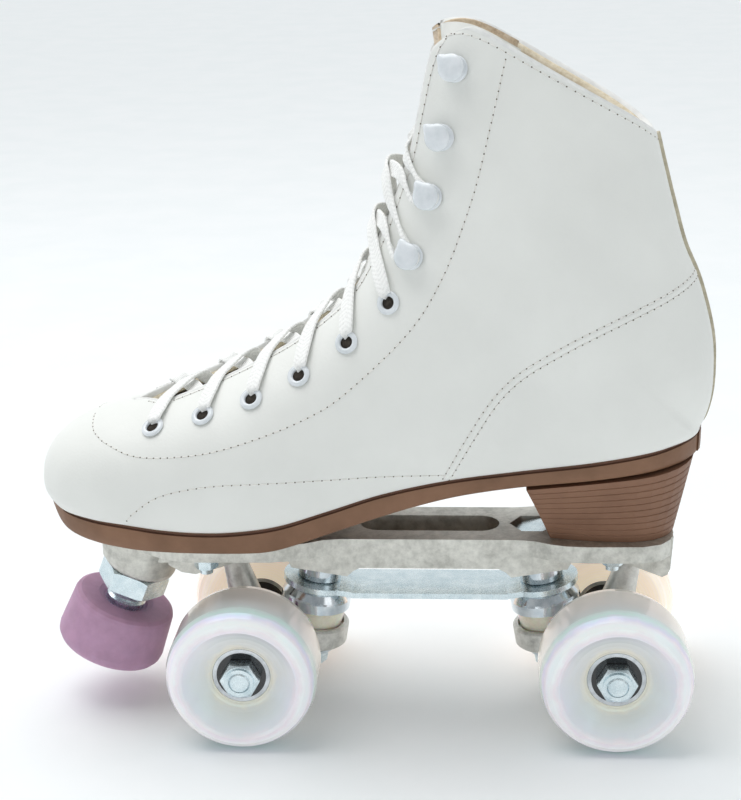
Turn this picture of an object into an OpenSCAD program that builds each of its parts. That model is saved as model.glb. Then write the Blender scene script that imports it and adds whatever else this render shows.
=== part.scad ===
// Quad roller skate with a high laced boot, in millimetres.
// X runs from the toe (-X) to the heel (+X), Y is across the skate, Z is up.
// The wheels stand on the floor at z = 0 and the skate is symmetric about y = 0.

/* [Wheels] */
// wheel diameter
wheel_d = 57; // [56:0.5:58]
// wheel width
wheel_w = 32; // [31:0.5:33]
// height of the wheel face's crest, measured as a radius
lip_r = 22.5; // [21:0.5:23.5]

/* [Trucks] */
// distance between the axles
wheelbase = 139.7; // [138:0.1:141]
// distance from the middle of the skate to the inner face of a wheel
wheel_in = 19; // [18.6:0.1:19.6]
// lean of the kingpins away from upright
kingpin_lean = 9.6; // [8:0.1:11]
// diameter of the cushions in their cups
cushion_d = 24; // [23:0.5:25]
// outer diameter of the hanger's ring
ring_d = 29; // [28:0.5:30]

/* [Plate] */
// height of the plate's top face
plate_top = 73; // [72.9:0.1:73]
// half width of the plate's beam
beam_hw = 16.5; // [16:0.1:17]
// half length of the long slot
slot_half = 27; // [24:1:28]
// half width of the long slot
slot_hw = 7.7; // [6:0.1:8.5]

/* [Toe stop] */
// lean of the toe stop's stem away from upright
stop_lean = 22; // [21:0.5:23]
// diameter of the pad at its top
pad_top_d = 40; // [38:0.5:41]
// diameter of the pad near its foot
pad_foot_d = 43; // [41.5:0.5:44]
// height of the pad
pad_h = 22.5; // [21:0.5:23]

/* [Boot] */
// thickness of the upper
upper_t = 2.4; // [2.2:0.1:2.5]
// thickness of the fleece lining
lining_t = 1.8; // [1.6:0.1:1.9]
// half width of the gap between the facings
gap_hw = 12; // [10:0.5:14]
// outer diameter of an eyelet
eyelet_d = 8.6; // [8:0.1:9.4]
// width of the flat lace
lace_w = 6; // [5:0.5:6.5]

/* [Output] */
// which piece to draw

/* [Hidden] */
$fn = 72;

// everything is laid out from the middle of the wheelbase and shifted so that the
// whole skate's box is centred on x = 0
box_shift = 21.5;
axle_x = wheelbase / 2;
axle_z = wheel_d / 2;

// colours
white_leather = [0.93, 0.94, 0.94];
sole_brown = [0.47, 0.33, 0.26];
fleece = [0.87, 0.80, 0.68];
cast_grey = [0.66, 0.65, 0.63];
zinc = [0.78, 0.86, 0.88];
chrome = [0.85, 0.88, 0.90];
black_shield = [0.05, 0.05, 0.06];
cushion_cream = [0.90, 0.88, 0.80];
wheel_white = [0.92, 0.93, 0.92];
pad_mauve = [0.66, 0.50, 0.65];

module skate_frame() {
    translate([box_shift, 0, 0])
        children();
}

// ---------- boot surface ----------
// Each station joins a point B on the sole, heel or back line to a point F on the
// toe, instep or front line: [Bx, Bz, Fx, Fz, half width, flat half width,
// share of the line at the widest place, back roundness, front roundness].
stations = [
    [-149.3, 95, -149.1, 98, 0, 0, 0.45, 2.0, 2.2],
    [-148.4, 90, -147.2, 104, 9.5, 1.0, 0.42, 2.0, 2.3],
    [-145.6, 86.2, -143.4, 109.5, 16.5, 5.0, 0.40, 2.0, 2.4],
    [-138, 84.6, -135.5, 115.5, 25, 16.5, 0.36, 2.0, 2.5],
    [-126, 84.8, -123.5, 120.7, 31, 26.5, 0.33, 2.0, 2.5],
    [-112, 85.0, -109, 124.8, 35.5, 33.0, 0.31, 2.0, 2.4],
    [-98, 84.4, -94.5, 130, 38.5, 36.7, 0.30, 2.0, 2.3],
    [-84, 84.0, -78.3, 136.8, 40, 38.2, 0.30, 2.0, 2.2],
    [-70, 84.4, -62.8, 144.6, 40, 38.2, 0.30, 2.0, 2.1],
    [-54, 86.2, -48.2, 153.2, 38.5, 36.3, 0.31, 2.0, 2.1],
    [-36, 90.8, -36, 163, 36, 32.5, 0.33, 2.0, 2.1],
    [-16, 96.2, -27, 173, 33.5, 28.7, 0.36, 2.0, 2.1],
    [8, 101.0, -21.3, 184, 33, 27.0, 0.39, 2.1, 2.1],
    [34, 104.8, -17, 195, 33, 27.5, 0.42, 2.2, 2.1],
    [60, 108.4, -14, 205.3, 33, 28.8, 0.45, 2.4, 2.1],
    [80, 111.2, -11.9, 213.3, 33, 26.0, 0.46, 2.6, 2.1],
    [92, 112.7, -10.3, 219.6, 32.5, 18.5, 0.46, 2.9, 2.1],
    [99, 113.3, -9, 225.5, 32.2, 9.0, 0.46, 3.1, 2.1],
    [102.4, 115.2, -7.7, 231.5, 32, 0, 0.46, 3.2, 2.1],
    [105.6, 125, -6.5, 237.5, 31.5, 0, 0.46, 3.2, 2.1],
    [106.3, 138, -5.2, 243.5, 30.5, 0, 0.46, 3.0, 2.1],
    [105, 152, -4, 249, 29.3, 0, 0.46, 2.8, 2.1],
    [100, 170, -2.8, 253.5, 28, 0, 0.46, 2.6, 2.1],
    [94, 184, -1.8, 257, 26.5, 0, 0.46, 2.4, 2.1],
    [89.8, 198, -0.8, 259, 25.3, 0, 0.46, 2.3, 2.1],
    [86.2, 211, 0.6, 260.2, 24.5, 0, 0.46, 2.3, 2.1],
    [82.8, 224, 2.6, 260.6, 24, 0, 0.46, 2.3, 2.1]
];
last = len(stations) - 1;
// height of the rim's bow above a straight line, and where the bow starts
bow_start = 21;

// smooth curve through four neighbouring stations
function spline(a, b, c, d, u) =
    0.5 * ((2 * b) + (c - a) * u + (2 * a - 5 * b + 4 * c - d) * u * u
    + (3 * b - a - 3 * c + d) * u * u * u);
function clamp(v, lo, hi) = min(max(v, lo), hi);
function station(s) =
    let (k = clamp(floor(s), 0, last - 1))
    spline(stations[max(k - 1, 0)], stations[k], stations[k + 1],
        stations[min(k + 2, last)], s - k);
function ease(a, b, v) =
    let (u = clamp((v - a) / (b - a), 0, 1))
    u * u * (3 - 2 * u);
function unit2(v) = v / norm(v);

// a station moved inward: side is the depth under the outside, sole is the extra
// depth along the sole line
function sole_share(s) = 1 - ease(16.6, 18.2, s);
function inner_station(s, depth, sole) =
    let (
        h = 0.02,
        a = station(clamp(s - h, 0, last)),
        b = station(clamp(s + h, 0, last)),
        m = station(s),
        tb = unit2([b[0] - a[0], b[1] - a[1]]),
        tf = unit2([b[2] - a[2], b[3] - a[3]]),
        db = depth + sole * sole_share(s)
    )
    [
        m[0] - tb[1] * db, m[1] + tb[0] * db,
        m[2] + tf[1] * depth, m[3] - tf[0] * depth,
        max(m[4] - depth, 0), max(m[5] - depth, 0), m[6], m[7], m[8]
    ];

// half width across the line at share t
function half_width(q, t) =
    t < q[6]
    ? q[5] + (q[4] - q[5]) * sqrt(max(0, 1 - pow(1 - t / q[6], q[7])))
    : q[4] * sqrt(max(0, 1 - pow((t - q[6]) / (1 - q[6]), q[8])));

// share of the line at which the front part narrows to half width g
function share_at(q, g) =
    g >= q[4] ? q[6] : q[6] + (1 - q[6]) * pow(1 - pow(g / q[4], 2), 1 / q[8]);

// point on the section at share t, on side sg
function bow(s, t) =
    ease(bow_start, last, s) * (2.2 + 8 * t) * (1 - pow(abs(2 * t - 1), 7));
function section_point(s, q, t, sg, w) =
    let (
        d = [q[2] - q[0], q[3] - q[1]],
        n = unit2([-d[1], d[0]]) * -1,
        b = bow(s, t)
    )
    [q[0] + d[0] * t + n[0] * b, sg * w, q[1] + d[1] * t + n[1] * b];

// half width of the throat at station s
throat_start = 5.0;
function throat(s) = gap_hw * ease(throat_start - 0.3, throat_start + 0.9, s) * (1 - 0.2 * ease(16, last, s));

// shares along the section, crowded toward both ends
function share(j, n, t_end) =
    let (u = j / n)
    t_end * (0.5 - 0.5 * cos(180 * u)) * 0.75 + t_end * u * 0.25;

side_n = 11;
// one ring of the shell from the right edge under the sole to the left edge; rise is
// how much nearer the outside the shell lies along the facings
function ring(s, depth, sole, rise) =
    let (
        q = inner_station(s, depth, sole),
        r = inner_station(s, depth - rise, sole),
        g = throat(s),
        te = g > 0 ? share_at(q, g) : 1,
        re = g > 0 ? share_at(r, g) : 1,
        lift = ease(4.6, 6, s),
        half = [for (j = [0 : side_n])
            let (
                t = share(j, side_n, te),
                u = share(j, side_n, re),
                m = lift * ease(0.45, 0.7, t),
                low = section_point(s, q, t, 1, half_width(q, t)),
                high = section_point(s, r, u, 1, half_width(r, u))
            )
            low + (high - low) * m]
    )
    concat(
        [for (j = [side_n : -1 : 0]) [half[j][0], -half[j][1], half[j][2]]],
        [section_point(s, q, 0, 1, 0)],
        half
    );
function flat_ring(s, depth, sole) =
    let (q = inner_station(s, depth, sole))
    concat(
        [for (j = [side_n : -1 : 0]) let (t = share(j, side_n, 1)) section_point(s, q, t, -1, 0)],
        [section_point(s, q, 0, 1, 0)],
        [for (j = [0 : side_n]) let (t = share(j, side_n, 1)) section_point(s, q, t, 1, 0)]
    );
ring_n = 2 * side_n + 3;

// station at which the vamp ends and the quarters begin, between two pairs of eyelets
vamp_end = 8.6;
// station values used for the rings, closer together round the toe and the heel
function ring_values(s0) =
    concat(
        [for (u = [0.12, 0.4, 0.8]) s0 + (2 - s0) * u],
        [for (s = [2 : 0.5 : 5]) s],
        [for (s = [5.3 : 0.3 : 6.2]) s],
        [7, 8, vamp_end],
        [for (s = [9 : 1 : 13]) s],
        [for (s = [14 : 0.5 : 19]) s],
        [for (s = [20 : 1 : last]) s]
    );

// a ring's points on the left (side -1), on the right (side 1) or all of them (side 0)
function on_side(r, side) =
    side == 0 ? r : [for (j = [0 : side_n + 1]) side < 0 ? r[j] : r[j + side_n + 1]];

// closed shell between two depths, open at the rim and along the throat, from the tip
// of the toe or from one station to another, whole or the half on one side
module shell(outer, inner, sole, rise, s_out, s_in, from = -1, to = last, side = 0) {
    so = [for (s = ring_values(s_out)) if (s >= from && s <= to) s];
    si = [for (s = ring_values(s_in)) if (s >= from && s <= to) s];
    tip = from < 0;
    n = len(so) + (tip ? 1 : 0);
    m = side == 0 ? ring_n : side_n + 2;
    pts_out = concat(
        tip ? flat_ring(s_out, outer, sole) : [],
        [for (s = so) each on_side(ring(s, outer, sole, rise), side)]
    );
    pts_in = concat(
        tip ? flat_ring(s_in, inner, sole) : [],
        [for (s = si) each on_side(ring(s, inner, sole, rise), side)]
    );
    off = n * m;
    quads_out = [for (i = [0 : n - 2]) for (j = [0 : m - 2])
        [i * m + j, (i + 1) * m + j, (i + 1) * m + j + 1, i * m + j + 1]];
    quads_in = [for (q = quads_out) [q[3] + off, q[2] + off, q[1] + off, q[0] + off]];
    rim = [for (j = [0 : m - 2])
        [off + (n - 1) * m + j, off + (n - 1) * m + j + 1, (n - 1) * m + j + 1, (n - 1) * m + j]];
    start = tip ? [] : [for (j = [0 : m - 2]) [j, j + 1, off + j + 1, off + j]];
    // the two long edges, with a toe from the last ring that is still closed on top
    slit = tip ? len([for (s = so) if (s <= throat_start - 0.3) s]) : 0;
    edge_a = [for (i = [slit : n - 2]) [off + i * m, off + (i + 1) * m, (i + 1) * m, i * m]];
    edge_b = [for (i = [slit : n - 2])
        [off + (i + 1) * m + m - 1, off + i * m + m - 1, i * m + m - 1, (i + 1) * m + m - 1]];
    skin = concat(quads_out, quads_in, rim, start, edge_a, edge_b);
    polyhedron(points = concat(pts_out, pts_in), faces = skin, convexity = 8);
}

// a patch of the shell between two depths from station s0 to s1, as far up the sides as
// the given row of points, on the shell's own rows so that the layers lie evenly
module cup_patch(outer, inner, s0, s1, rows) {
    s_list = [for (s = ring_values(0.28)) if (s >= s0 && s <= s1) s];
    function cup_ring(s, depth) =
        let (
            q = inner_station(s, depth, 0),
            te = throat(s) > 0 ? share_at(q, throat(s)) : 1,
            half = [for (j = [0 : rows]) let (t = share(j, side_n, te)) section_point(s, q, t, 1, half_width(q, t))]
        )
        concat(
            [for (j = [rows : -1 : 0]) [half[j][0], -half[j][1], half[j][2]]],
            [section_point(s, q, 0, 1, 0)],
            half
        );
    pts = concat([for (s = s_list) each cup_ring(s, inner)], [for (s = s_list) each cup_ring(s, outer)]);
    closed_grid(pts, len(s_list), 2 * rows + 3);
}

// two grids of n rings by m points, joined along their four edges
module closed_grid(pts, n, m) {
    off = n * m;
    top = [for (i = [0 : n - 2]) for (j = [0 : m - 2])
        [i * m + j, i * m + j + 1, (i + 1) * m + j + 1, (i + 1) * m + j]];
    under = [for (q = top) [q[3] + off, q[2] + off, q[1] + off, q[0] + off]];
    first = [for (j = [0 : m - 2]) [j + 1, j, off + j, off + j + 1]];
    end = [for (j = [0 : m - 2])
        [(n - 1) * m + j, (n - 1) * m + j + 1, off + (n - 1) * m + j + 1, off + (n - 1) * m + j]];
    edge_a = [for (i = [0 : n - 2]) [i * m, (i + 1) * m, off + (i + 1) * m, off + i * m]];
    edge_b = [for (i = [0 : n - 2])
        [(i + 1) * m + m - 1, i * m + m - 1, off + i * m + m - 1, off + (i + 1) * m + m - 1]];
    polyhedron(points = pts, faces = concat(top, under, first, end, edge_a, edge_b), convexity = 8);
}

// points on the outside of the boot and the direction away from it
function on_boot(s, t, sg) =
    let (q = station(s))
    section_point(s, q, t, sg, half_width(q, t));
function away(s, t, sg) =
    let (
        e = 0.001,
        a = on_boot(s + e, t, sg) - on_boot(s - e, t, sg),
        b = on_boot(s, min(t + e, 1), sg) - on_boot(s, min(t + e, 1) - 2 * e, sg),
        n = cross(a, b) / norm(cross(a, b))
    )
    n[1] * sg < 0 ? -n : n;
module stand_on_boot(s, t, sg) {
    n = away(s, t, sg);
    translate(on_boot(s, t, sg))
        rotate([0, acos(n[2]), atan2(n[1], n[0])])
            children();
}

// where the eyelets and the hooks sit: [station, share]
eyelet_at = [[5.6, 0.84], [6.85, 0.82], [8.05, 0.80], [9.25, 0.795], [10.65, 0.787], [12.2, 0.785]];
hook_at = [[13.5, 0.83], [15.8, 0.875], [19.15, 0.887], [22.75, 0.88]];

// holes for the eyelet barrels and the hook rivets
module facing_holes(depth) {
    for (sg = [-1, 1]) {
        for (e = eyelet_at)
            stand_on_boot(e[0], e[1], sg)
                translate([0, 0, -depth])
                    cylinder(h = depth + 3, r = 3);
        for (k = hook_at)
            stand_on_boot(k[0], k[1], sg)
                translate([0, 0, -depth])
                    cylinder(h = depth + 3, r = 1.8);
    }
}

// mounting bolts, two under the ball and two under the heel
bolt_at = [[-85, 19], [-85, -19], [69.6, 13], [69.6, -13]];
module bolt_holes(r) {
    for (b = bolt_at)
        translate([b[0], b[1], 60])
            cylinder(h = 60, r = r);
}

module leather(from, to, side) {
    color(white_leather)
        skate_frame()
            difference() {
                shell(0, upper_t, 0, 0, 0, 0.28, from, to, side);
                facing_holes(9);
                bolt_holes(2.7);
            }
}
module boot_vamp() {
    leather(-1, vamp_end, 0);
}
module left_quarter() {
    leather(vamp_end, last, -1);
}
module right_quarter() {
    leather(vamp_end, last, 1);
}

module boot_lining() {
    color(fleece)
        skate_frame()
            difference() {
                shell(3.9, 3.9 + lining_t, 3.1, 0.8, 0.5, 0.8);
                facing_holes(12);
            }
}

module heel_counter() {
    color(fleece)
        skate_frame()
            difference() {
                cup_patch(2.55, 3.6, 13, 21, 5);
                bolt_holes(5.4);
            }
}

module toe_puff() {
    color(fleece)
        skate_frame()
            cup_patch(2.55, 3.1, 1.5, 4.5, 9);
}

// ---------- soft parts inside the boot ----------
tongue_n = 7;
module tongue() {
    s_list = concat([4.5, 5, 5.5, 6.2], [for (s = [7 : 1 : 25]) s]);
    function tongue_ring(s, depth) =
        let (
            q = inner_station(s, depth, 0),
            reach = min(20, q[4] - 1.5),
            t0 = share_at(q, reach),
            ts = [for (j = [0 : tongue_n]) 1 - (1 - t0) * pow(1 - j / tongue_n, 2)]
        )
        concat(
            [for (j = [0 : tongue_n]) section_point(s, q, ts[j], -1, half_width(q, ts[j]))],
            [for (j = [tongue_n - 1 : -1 : 0]) section_point(s, q, ts[j], 1, half_width(q, ts[j]))]
        );
    pts = concat(
        [for (s = s_list) each tongue_ring(s, 7.4)],
        [for (s = s_list) each tongue_ring(s, 10.4)]
    );
    color(white_leather)
        skate_frame()
            closed_grid(pts, len(s_list), 2 * tongue_n + 1);
}

// flat bar that follows the sole line between two depths, narrower than the sole
module sole_bar(d0, d1, margin, s_list) {
    function bar_ring(s, depth) =
        let (q = inner_station(s, depth, 0), w = station(s)[5] - margin)
        [[q[0], -w, q[1]], [q[0], 0, q[1]], [q[0], w, q[1]]];
    pts = concat(
        [for (s = s_list) each bar_ring(s, d1)],
        [for (s = s_list) each bar_ring(s, d0)]
    );
    closed_grid(pts, len(s_list), 3);
}
bar_stations = [for (s = [3 : 0.5 : 16]) s];

module insole_board() {
    color(fleece)
        skate_frame()
            difference() {
                sole_bar(3.9, 5.7, 5.5, bar_stations);
                bolt_holes(5.4);
            }
}

module insole() {
    color(fleece)
        skate_frame()
            sole_bar(9.3, 11.6, 12, [for (s = [3.3 : 0.5 : 16.3]) s]);
}

// ---------- outsole and heel ----------
// height of the outsole's underside along x
sole_under = [
    [-147, 82], [-144.5, 78.4], [-141, 76.4], [-136, 75], [-130, 74.3], [-120, 73.6], [-108, 73.1], [-62, 73.1],
    [-57, 73.6], [-52, 74.8], [-45, 76.8], [-37, 79.3], [-28, 82], [-19.5, 84.6], [-5.5, 88.8],
    [9, 92.6], [23, 95.2], [36.5, 97.2], [60, 99.8], [85, 102.8], [104, 105]
];
function under_z(x) = lookup(x, sole_under);
// one closed ring of the outsole at x with half width w and top height z
function sole_ring(x, w, z) =
    let (
        u = under_z(x),
        crown = 2.3 * pow(w / 38, 2),
        side = [
            [w, z], [w, z - 1.2], [w - 0.5, u + crown + 1.8], [max(w - 2.2, w * 0.6), u + crown],
            [w * 0.5, u + crown * 0.25]
        ]
    )
    concat(
        [for (p = side) [x, p[0], p[1]]],
        [[x, 0, u]],
        [for (k = [len(side) - 1 : -1 : 0]) [x, -side[k][0], side[k][1]]]
    );
// solid through a list of closed rings of m points each
module loft(rings, m) {
    n = len(rings);
    pts = [for (r = rings) each r];
    walls = [for (i = [0 : n - 2]) for (j = [0 : m - 1])
        [i * m + j, i * m + (j + 1) % m, (i + 1) * m + (j + 1) % m, (i + 1) * m + j]];
    cap_a = [[for (j = [m - 1 : -1 : 0]) j]];
    cap_b = [[for (j = [0 : m - 1]) (n - 1) * m + j]];
    polyhedron(points = pts, faces = concat(walls, cap_a, cap_b), convexity = 6);
}
module outsole() {
    s_list = concat([2, 2.25, 2.5, 3, 3.5], [for (s = [4 : 1 : 8]) s], [vamp_end],
        [for (s = [9 : 1 : 14]) s], [14.5, 15, 15.5, 16, 16.4, 16.8, 17.2]);
    rings = concat(
        [sole_ring(-146.9, 3.2, 87.2)],
        [for (s = s_list) let (q = station(s)) sole_ring(q[0], q[5] + 0.9, q[1] - 0.06)],
        [sole_ring(100.6, 6, 113.6), sole_ring(101.9, 3, 114.1)]
    );
    color(sole_brown)
        skate_frame()
            difference() {
                loft(rings, 11);
                bolt_holes(2.7);
            }
}

// heel outline at share v of its height, from the breast round the back
heel_n = 12;
lifts = 10;
groove = 0.3;
function heel_ring(v, inset) =
    let (
        x0 = 46 - 9.6 * v,
        x1 = 93.6 + 6.4 * v - inset,
        hw = 18 + 9.6 * v - inset,
        front = 0.80 + 0.17 * v,
        half = [for (j = [0 : heel_n])
            let (
                u = pow(sin(90 * j / heel_n), 0.9),
                y = u < 0.55
                    ? front + (1 - front) * sin(90 * u / 0.55)
                    : sqrt(max(0, 1 - pow((u - 0.55) / 0.45, 2.5)))
            )
            [x0 + (x1 - x0) * u, hw * y]]
    )
    let (
        z0 = plate_top + 0.06,
        flat = concat(half, [for (j = [heel_n - 1 : -1 : 0]) [half[j][0], -half[j][1]]], [[x0 + 1.2, 0]])
    )
    [for (p = flat) [p[0], p[1], z0 + v * (under_z(p[0]) - 0.06 - z0)]];
module heel_block() {
    cuts = [for (k = [1 : lifts - 1]) k / lifts];
    rings = concat(
        [heel_ring(0, 0)],
        [for (c = cuts) each [heel_ring(c - 0.012, 0), heel_ring(c, groove), heel_ring(c + 0.012, 0)]],
        [heel_ring(1, 0)]
    );
    color(sole_brown)
        skate_frame()
            difference() {
                loft(rings, 2 * heel_n + 2);
                bolt_holes(2.7);
            }
}

// ---------- eyelets, hooks and lace ----------
module eyelets() {
    color(white_leather)
        skate_frame()
            for (sg = [-1, 1])
                for (e = eyelet_at)
                    stand_on_boot(e[0], e[1], sg)
                        rotate_extrude()
                            polygon([
                                [2.3, -4], [2.75, -4], [2.75, 0.35], [eyelet_d / 2, 0.35],
                                [eyelet_d / 2, 0.65], [eyelet_d / 2 - 0.5, 1.05], [3.1, 1.25],
                                [2.55, 1.1], [2.3, 0.7]
                            ]);
}

// a hook: base disc with a rivet, waist, and a domed head bent over the waist
module lace_hooks() {
    color(white_leather)
        skate_frame()
            for (sg = [-1, 1])
                for (k = hook_at)
                    stand_on_boot(k[0], k[1], sg)
                        rotate_extrude()
                            polygon([
                                [0, -3], [1.5, -3], [1.5, 0.35], [4.6, 0.35], [4.6, 0.75], [4.1, 1.1],
                                [1.7, 1.2], [1.7, 3.7], [4.5, 3.7], [4.8, 4.1], [4.6, 4.7],
                                [3.4, 5.4], [1.8, 5.8], [0, 5.9]
                            ]);
}

// The lace is one cord: under the lowest pair of eyelets, up through each eyelet and
// across the throat to the next one on the other side, then round the two lower hooks
// and down beside the tongue. A route point is
// [x, y, z, then the direction of the lace's width, then width, thickness].
lace_t = 1.1;
function route(p, w, width, thick) = [p[0], p[1], p[2], w[0], w[1], w[2], width, thick];
function off_boot(s, t, sg, h) = on_boot(s, t, sg) + away(s, t, sg) * h;
function front_dir(s) =
    let (a = station(clamp(s - 0.05, 0, last)), b = station(clamp(s + 0.05, 0, last)))
    unit2([b[2] - a[2], b[3] - a[3]]);
// point over the throat at distance y from the middle and height h
function over_throat(s, y, h) =
    let (q = station(s), f = front_dir(s))
    section_point(s, q, share_at(q, abs(y)), y < 0 ? -1 : 1, abs(y)) + [-f[1], 0, f[0]] * h;
// directions up the boot along its front and along its side
function front_up(s) = let (f = front_dir(s)) [f[0], 0, f[1]];
function side_up(s, t, sg) =
    let (d = on_boot(s + 0.02, t, sg) - on_boot(s - 0.02, t, sg))
    d / norm(d);
function edge_share(s) = share_at(station(s), gap_hw);
// route point over the throat, and one over or under the side of the boot
function front_point(s, y, h, width) = route(over_throat(s, y, h), front_up(s), width, lace_t);
function side_point(s, t, sg, h, width, thick) =
    route(off_boot(s, t, sg, h), side_up(s, t, sg), width, thick);

// up through eyelet e on side a and as far as the facing's edge
function leave_eyelet(e, a, ds) =
    let (s = eyelet_at[e][0], t = eyelet_at[e][1], te = edge_share(s))
    [
        side_point(s, t, a, -5.9, 3.2, 1.3),
        side_point(s, t, a, -2, 3.2, 1.6),
        side_point(s, t, a, 0.9, 3.6, 1.5),
        side_point(s + 0.02 * ds, t + 0.18 * (te - t), a, 2.2, 4.8, 1.3),
        side_point(s + 0.07 * ds, t + 0.55 * (te - t), a, 1.6, lace_w, lace_t),
        front_point(s + 0.18 * ds, a * 13, 1.25, lace_w)
    ];
// across the throat and under the facing to eyelet e + 1 on the other side
function crossing(e, a, above) =
    let (
        s = eyelet_at[e][0],
        ds = eyelet_at[e + 1][0] - s,
        t2 = eyelet_at[e + 1][1],
        te = edge_share(s + ds)
    )
    concat(
        leave_eyelet(e, a, ds),
        above
        ? [
            front_point(s + 0.36 * ds, a * 6, 0.9, lace_w),
            front_point(s + 0.5 * ds, 0, 0.6, lace_w),
            front_point(s + 0.64 * ds, -a * 7, -0.5, lace_w)
        ]
        : [
            front_point(s + 0.33 * ds, a * 8.5, -1.8, lace_w),
            front_point(s + 0.5 * ds, 0, -2.3, lace_w),
            front_point(s + 0.64 * ds, -a * 7, -3.0, lace_w)
        ],
        [
            front_point(s + 0.7 * ds, -a * 9.4, above ? -3.4 : -4.6, 5.4),
            front_point(s + 0.76 * ds, -a * 12, -6.1, 5),
            side_point(s + 0.92 * ds, t2 + 0.45 * (te - t2), -a, -6.15, 4.2, lace_t)
        ]
    );
// round the stem of hook k on side a, from its toe side to its top side
function round_hook(k, a) =
    let (
        s = hook_at[k][0],
        t = hook_at[k][1],
        n = away(s, t, a),
        d = on_boot(s + 0.02, t, a) - on_boot(s - 0.02, t, a),
        v = d / norm(d),
        c = cross(v, n),
        u = c[1] * a > 0 ? -c : c,
        m = on_boot(s, t, a) + n * 2.45
    )
    [for (p = [[5, -3.4], [1.2, -2.95], [-2.1, -2.1], [-3, 0], [-2.1, 2.1], [1.2, 2.95], [5, 3.4]])
        route(m + u * p[0] + v * p[1], n, 2.2, 1.7)];
// from station s0 on side a across the throat toward hook k on the other side
function over_to_hook(s0, k, a, h) =
    let (ds = hook_at[k][0] - s0)
    [
        front_point(s0 + 0.38 * ds, a * 6, h, lace_w),
        front_point(s0 + 0.5 * ds, 0, h + 0.3, lace_w),
        front_point(s0 + 0.62 * ds, -a * 6, h, lace_w),
        front_point(s0 + 0.76 * ds, -a * 12.5, 1.3, 4.8)
    ];
function strand(a) =
    let (
        top = len(eyelet_at) - 1,
        side = a * pow(-1, top),
        s5 = eyelet_at[top][0],
        low = side < 0 ? 2.4 : 0.7
    )
    concat(
        [for (k = [0 : top - 1]) let (sg = a * pow(-1, k)) each crossing(k, sg, sg < 0)],
        leave_eyelet(top, side, hook_at[0][0] - s5),
        over_to_hook(s5, 0, side, low),
        round_hook(0, -side),
        [front_point(13.95, -side * 12.5, 1.3, 4)],
        over_to_hook(13.7, 1, -side, 3.1 - low),
        round_hook(1, side),
        [
            front_point(16.4, side * 12.5, 1.3, 4),
            front_point(17, side * 8.5, -2.2, 4),
            route(over_throat(17.9, side * 5.5, -5), [0, side, 0.2], 4.8, lace_t),
            route(over_throat(19.2, side * 5.8, -5.2), [0, side, 0.2], 4.8, lace_t),
            route(over_throat(20.6, side * 6.2, -5.2), [0, side, 0.2], 4.8, lace_t)
        ]
    );
// the bar under the lowest eyelets joins the two strands
function lace_route() =
    let (
        a = strand(-1),
        b = strand(1),
        e = eyelet_at[0],
        bar = [
            side_point(e[0], 0.93, 1, -5.9, 4.4, lace_t),
            front_point(e[0] + 0.02, 0, -5.7, 5),
            side_point(e[0], 0.93, -1, -5.9, 4.4, lace_t)
        ]
    )
    concat([for (k = [len(b) - 1 : -1 : 0]) b[k]], bar, a);
module lace() {
    r = lace_route();
    n = len(r);
    sub = 3;
    path = [for (k = [0 : n - 2]) for (j = [0 : sub - 1])
        spline(r[max(k - 1, 0)], r[k], r[k + 1], r[min(k + 2, n - 1)], j / sub)];
    full = concat(path, [r[n - 1]]);
    m = len(full);
    rings = [for (i = [0 : m - 1])
        let (
            p = full[i],
            a = full[max(i - 1, 0)],
            b = full[min(i + 1, m - 1)],
            d = [b[0] - a[0], b[1] - a[1], b[2] - a[2]],
            t = d / norm(d),
            g = [p[3], p[4], p[5]],
            w0 = g - t * (g * t),
            w = w0 / norm(w0),
            up = cross(t, w),
            c = [p[0], p[1], p[2]],
            hw = p[6] / 2,
            ht = p[7] / 2
        )
        [for (k = [[1, 0], [0.8, -1], [-0.8, -1], [-1, 0], [-0.8, 1], [0.8, 1]])
            c + w * (hw * k[0]) + up * (ht * k[1])]];
    color([0.95, 0.95, 0.93])
        skate_frame()
            loft(rings, 6);
}

// ---------- plate ----------
// frame of the rear kingpin: +Z runs down its axis from the middle of the boss face
boss_x = 42.2;
boss_z = 59.3;
module kingpin_frame() {
    translate([boss_x, 0, boss_z])
        rotate([0, 180 - kingpin_lean, 0])
            children();
}
// places rear parts at both trucks
module both_trucks() {
    children();
    mirror([1, 0, 0])
        children();
}
// pivot ball of the rear truck and the arm's lean
pivot_x = 78.7;
pivot_z = 63.5;
arm_lean = atan2(pivot_x - axle_x, pivot_z - axle_z);
arm_len = norm([pivot_x - axle_x, pivot_z - axle_z]);
module arm_frame() {
    translate([axle_x, 0, axle_z])
        rotate([0, arm_lean, 0])
            children();
}
// frame of the toe stop: +Z runs up the stem from the top of the pad
module stop_frame() {
    translate([-121.5, 0, 40.5])
        rotate([0, stop_lean, 0])
            children();
}
module hex_prism(across, h) {
    cylinder(h = h, d = across / cos(30), $fn = 6);
}
// hexagon with both faces' corners turned off
module chamfered_hex(across, h, both) {
    r = across / 2 / cos(30);
    intersection() {
        hex_prism(across, h);
        rotate_extrude()
            polygon([
                [0, 0], [both ? r - 0.9 : r, 0], [r, both ? 0.5 : 0], [r, h - 0.7],
                [r - 1.4, h], [0, h]
            ]);
    }
}
module side_profile(points, hw) {
    rotate([90, 0, 0])
        translate([0, 0, -hw])
            linear_extrude(height = 2 * hw)
                polygon(points);
}

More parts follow.
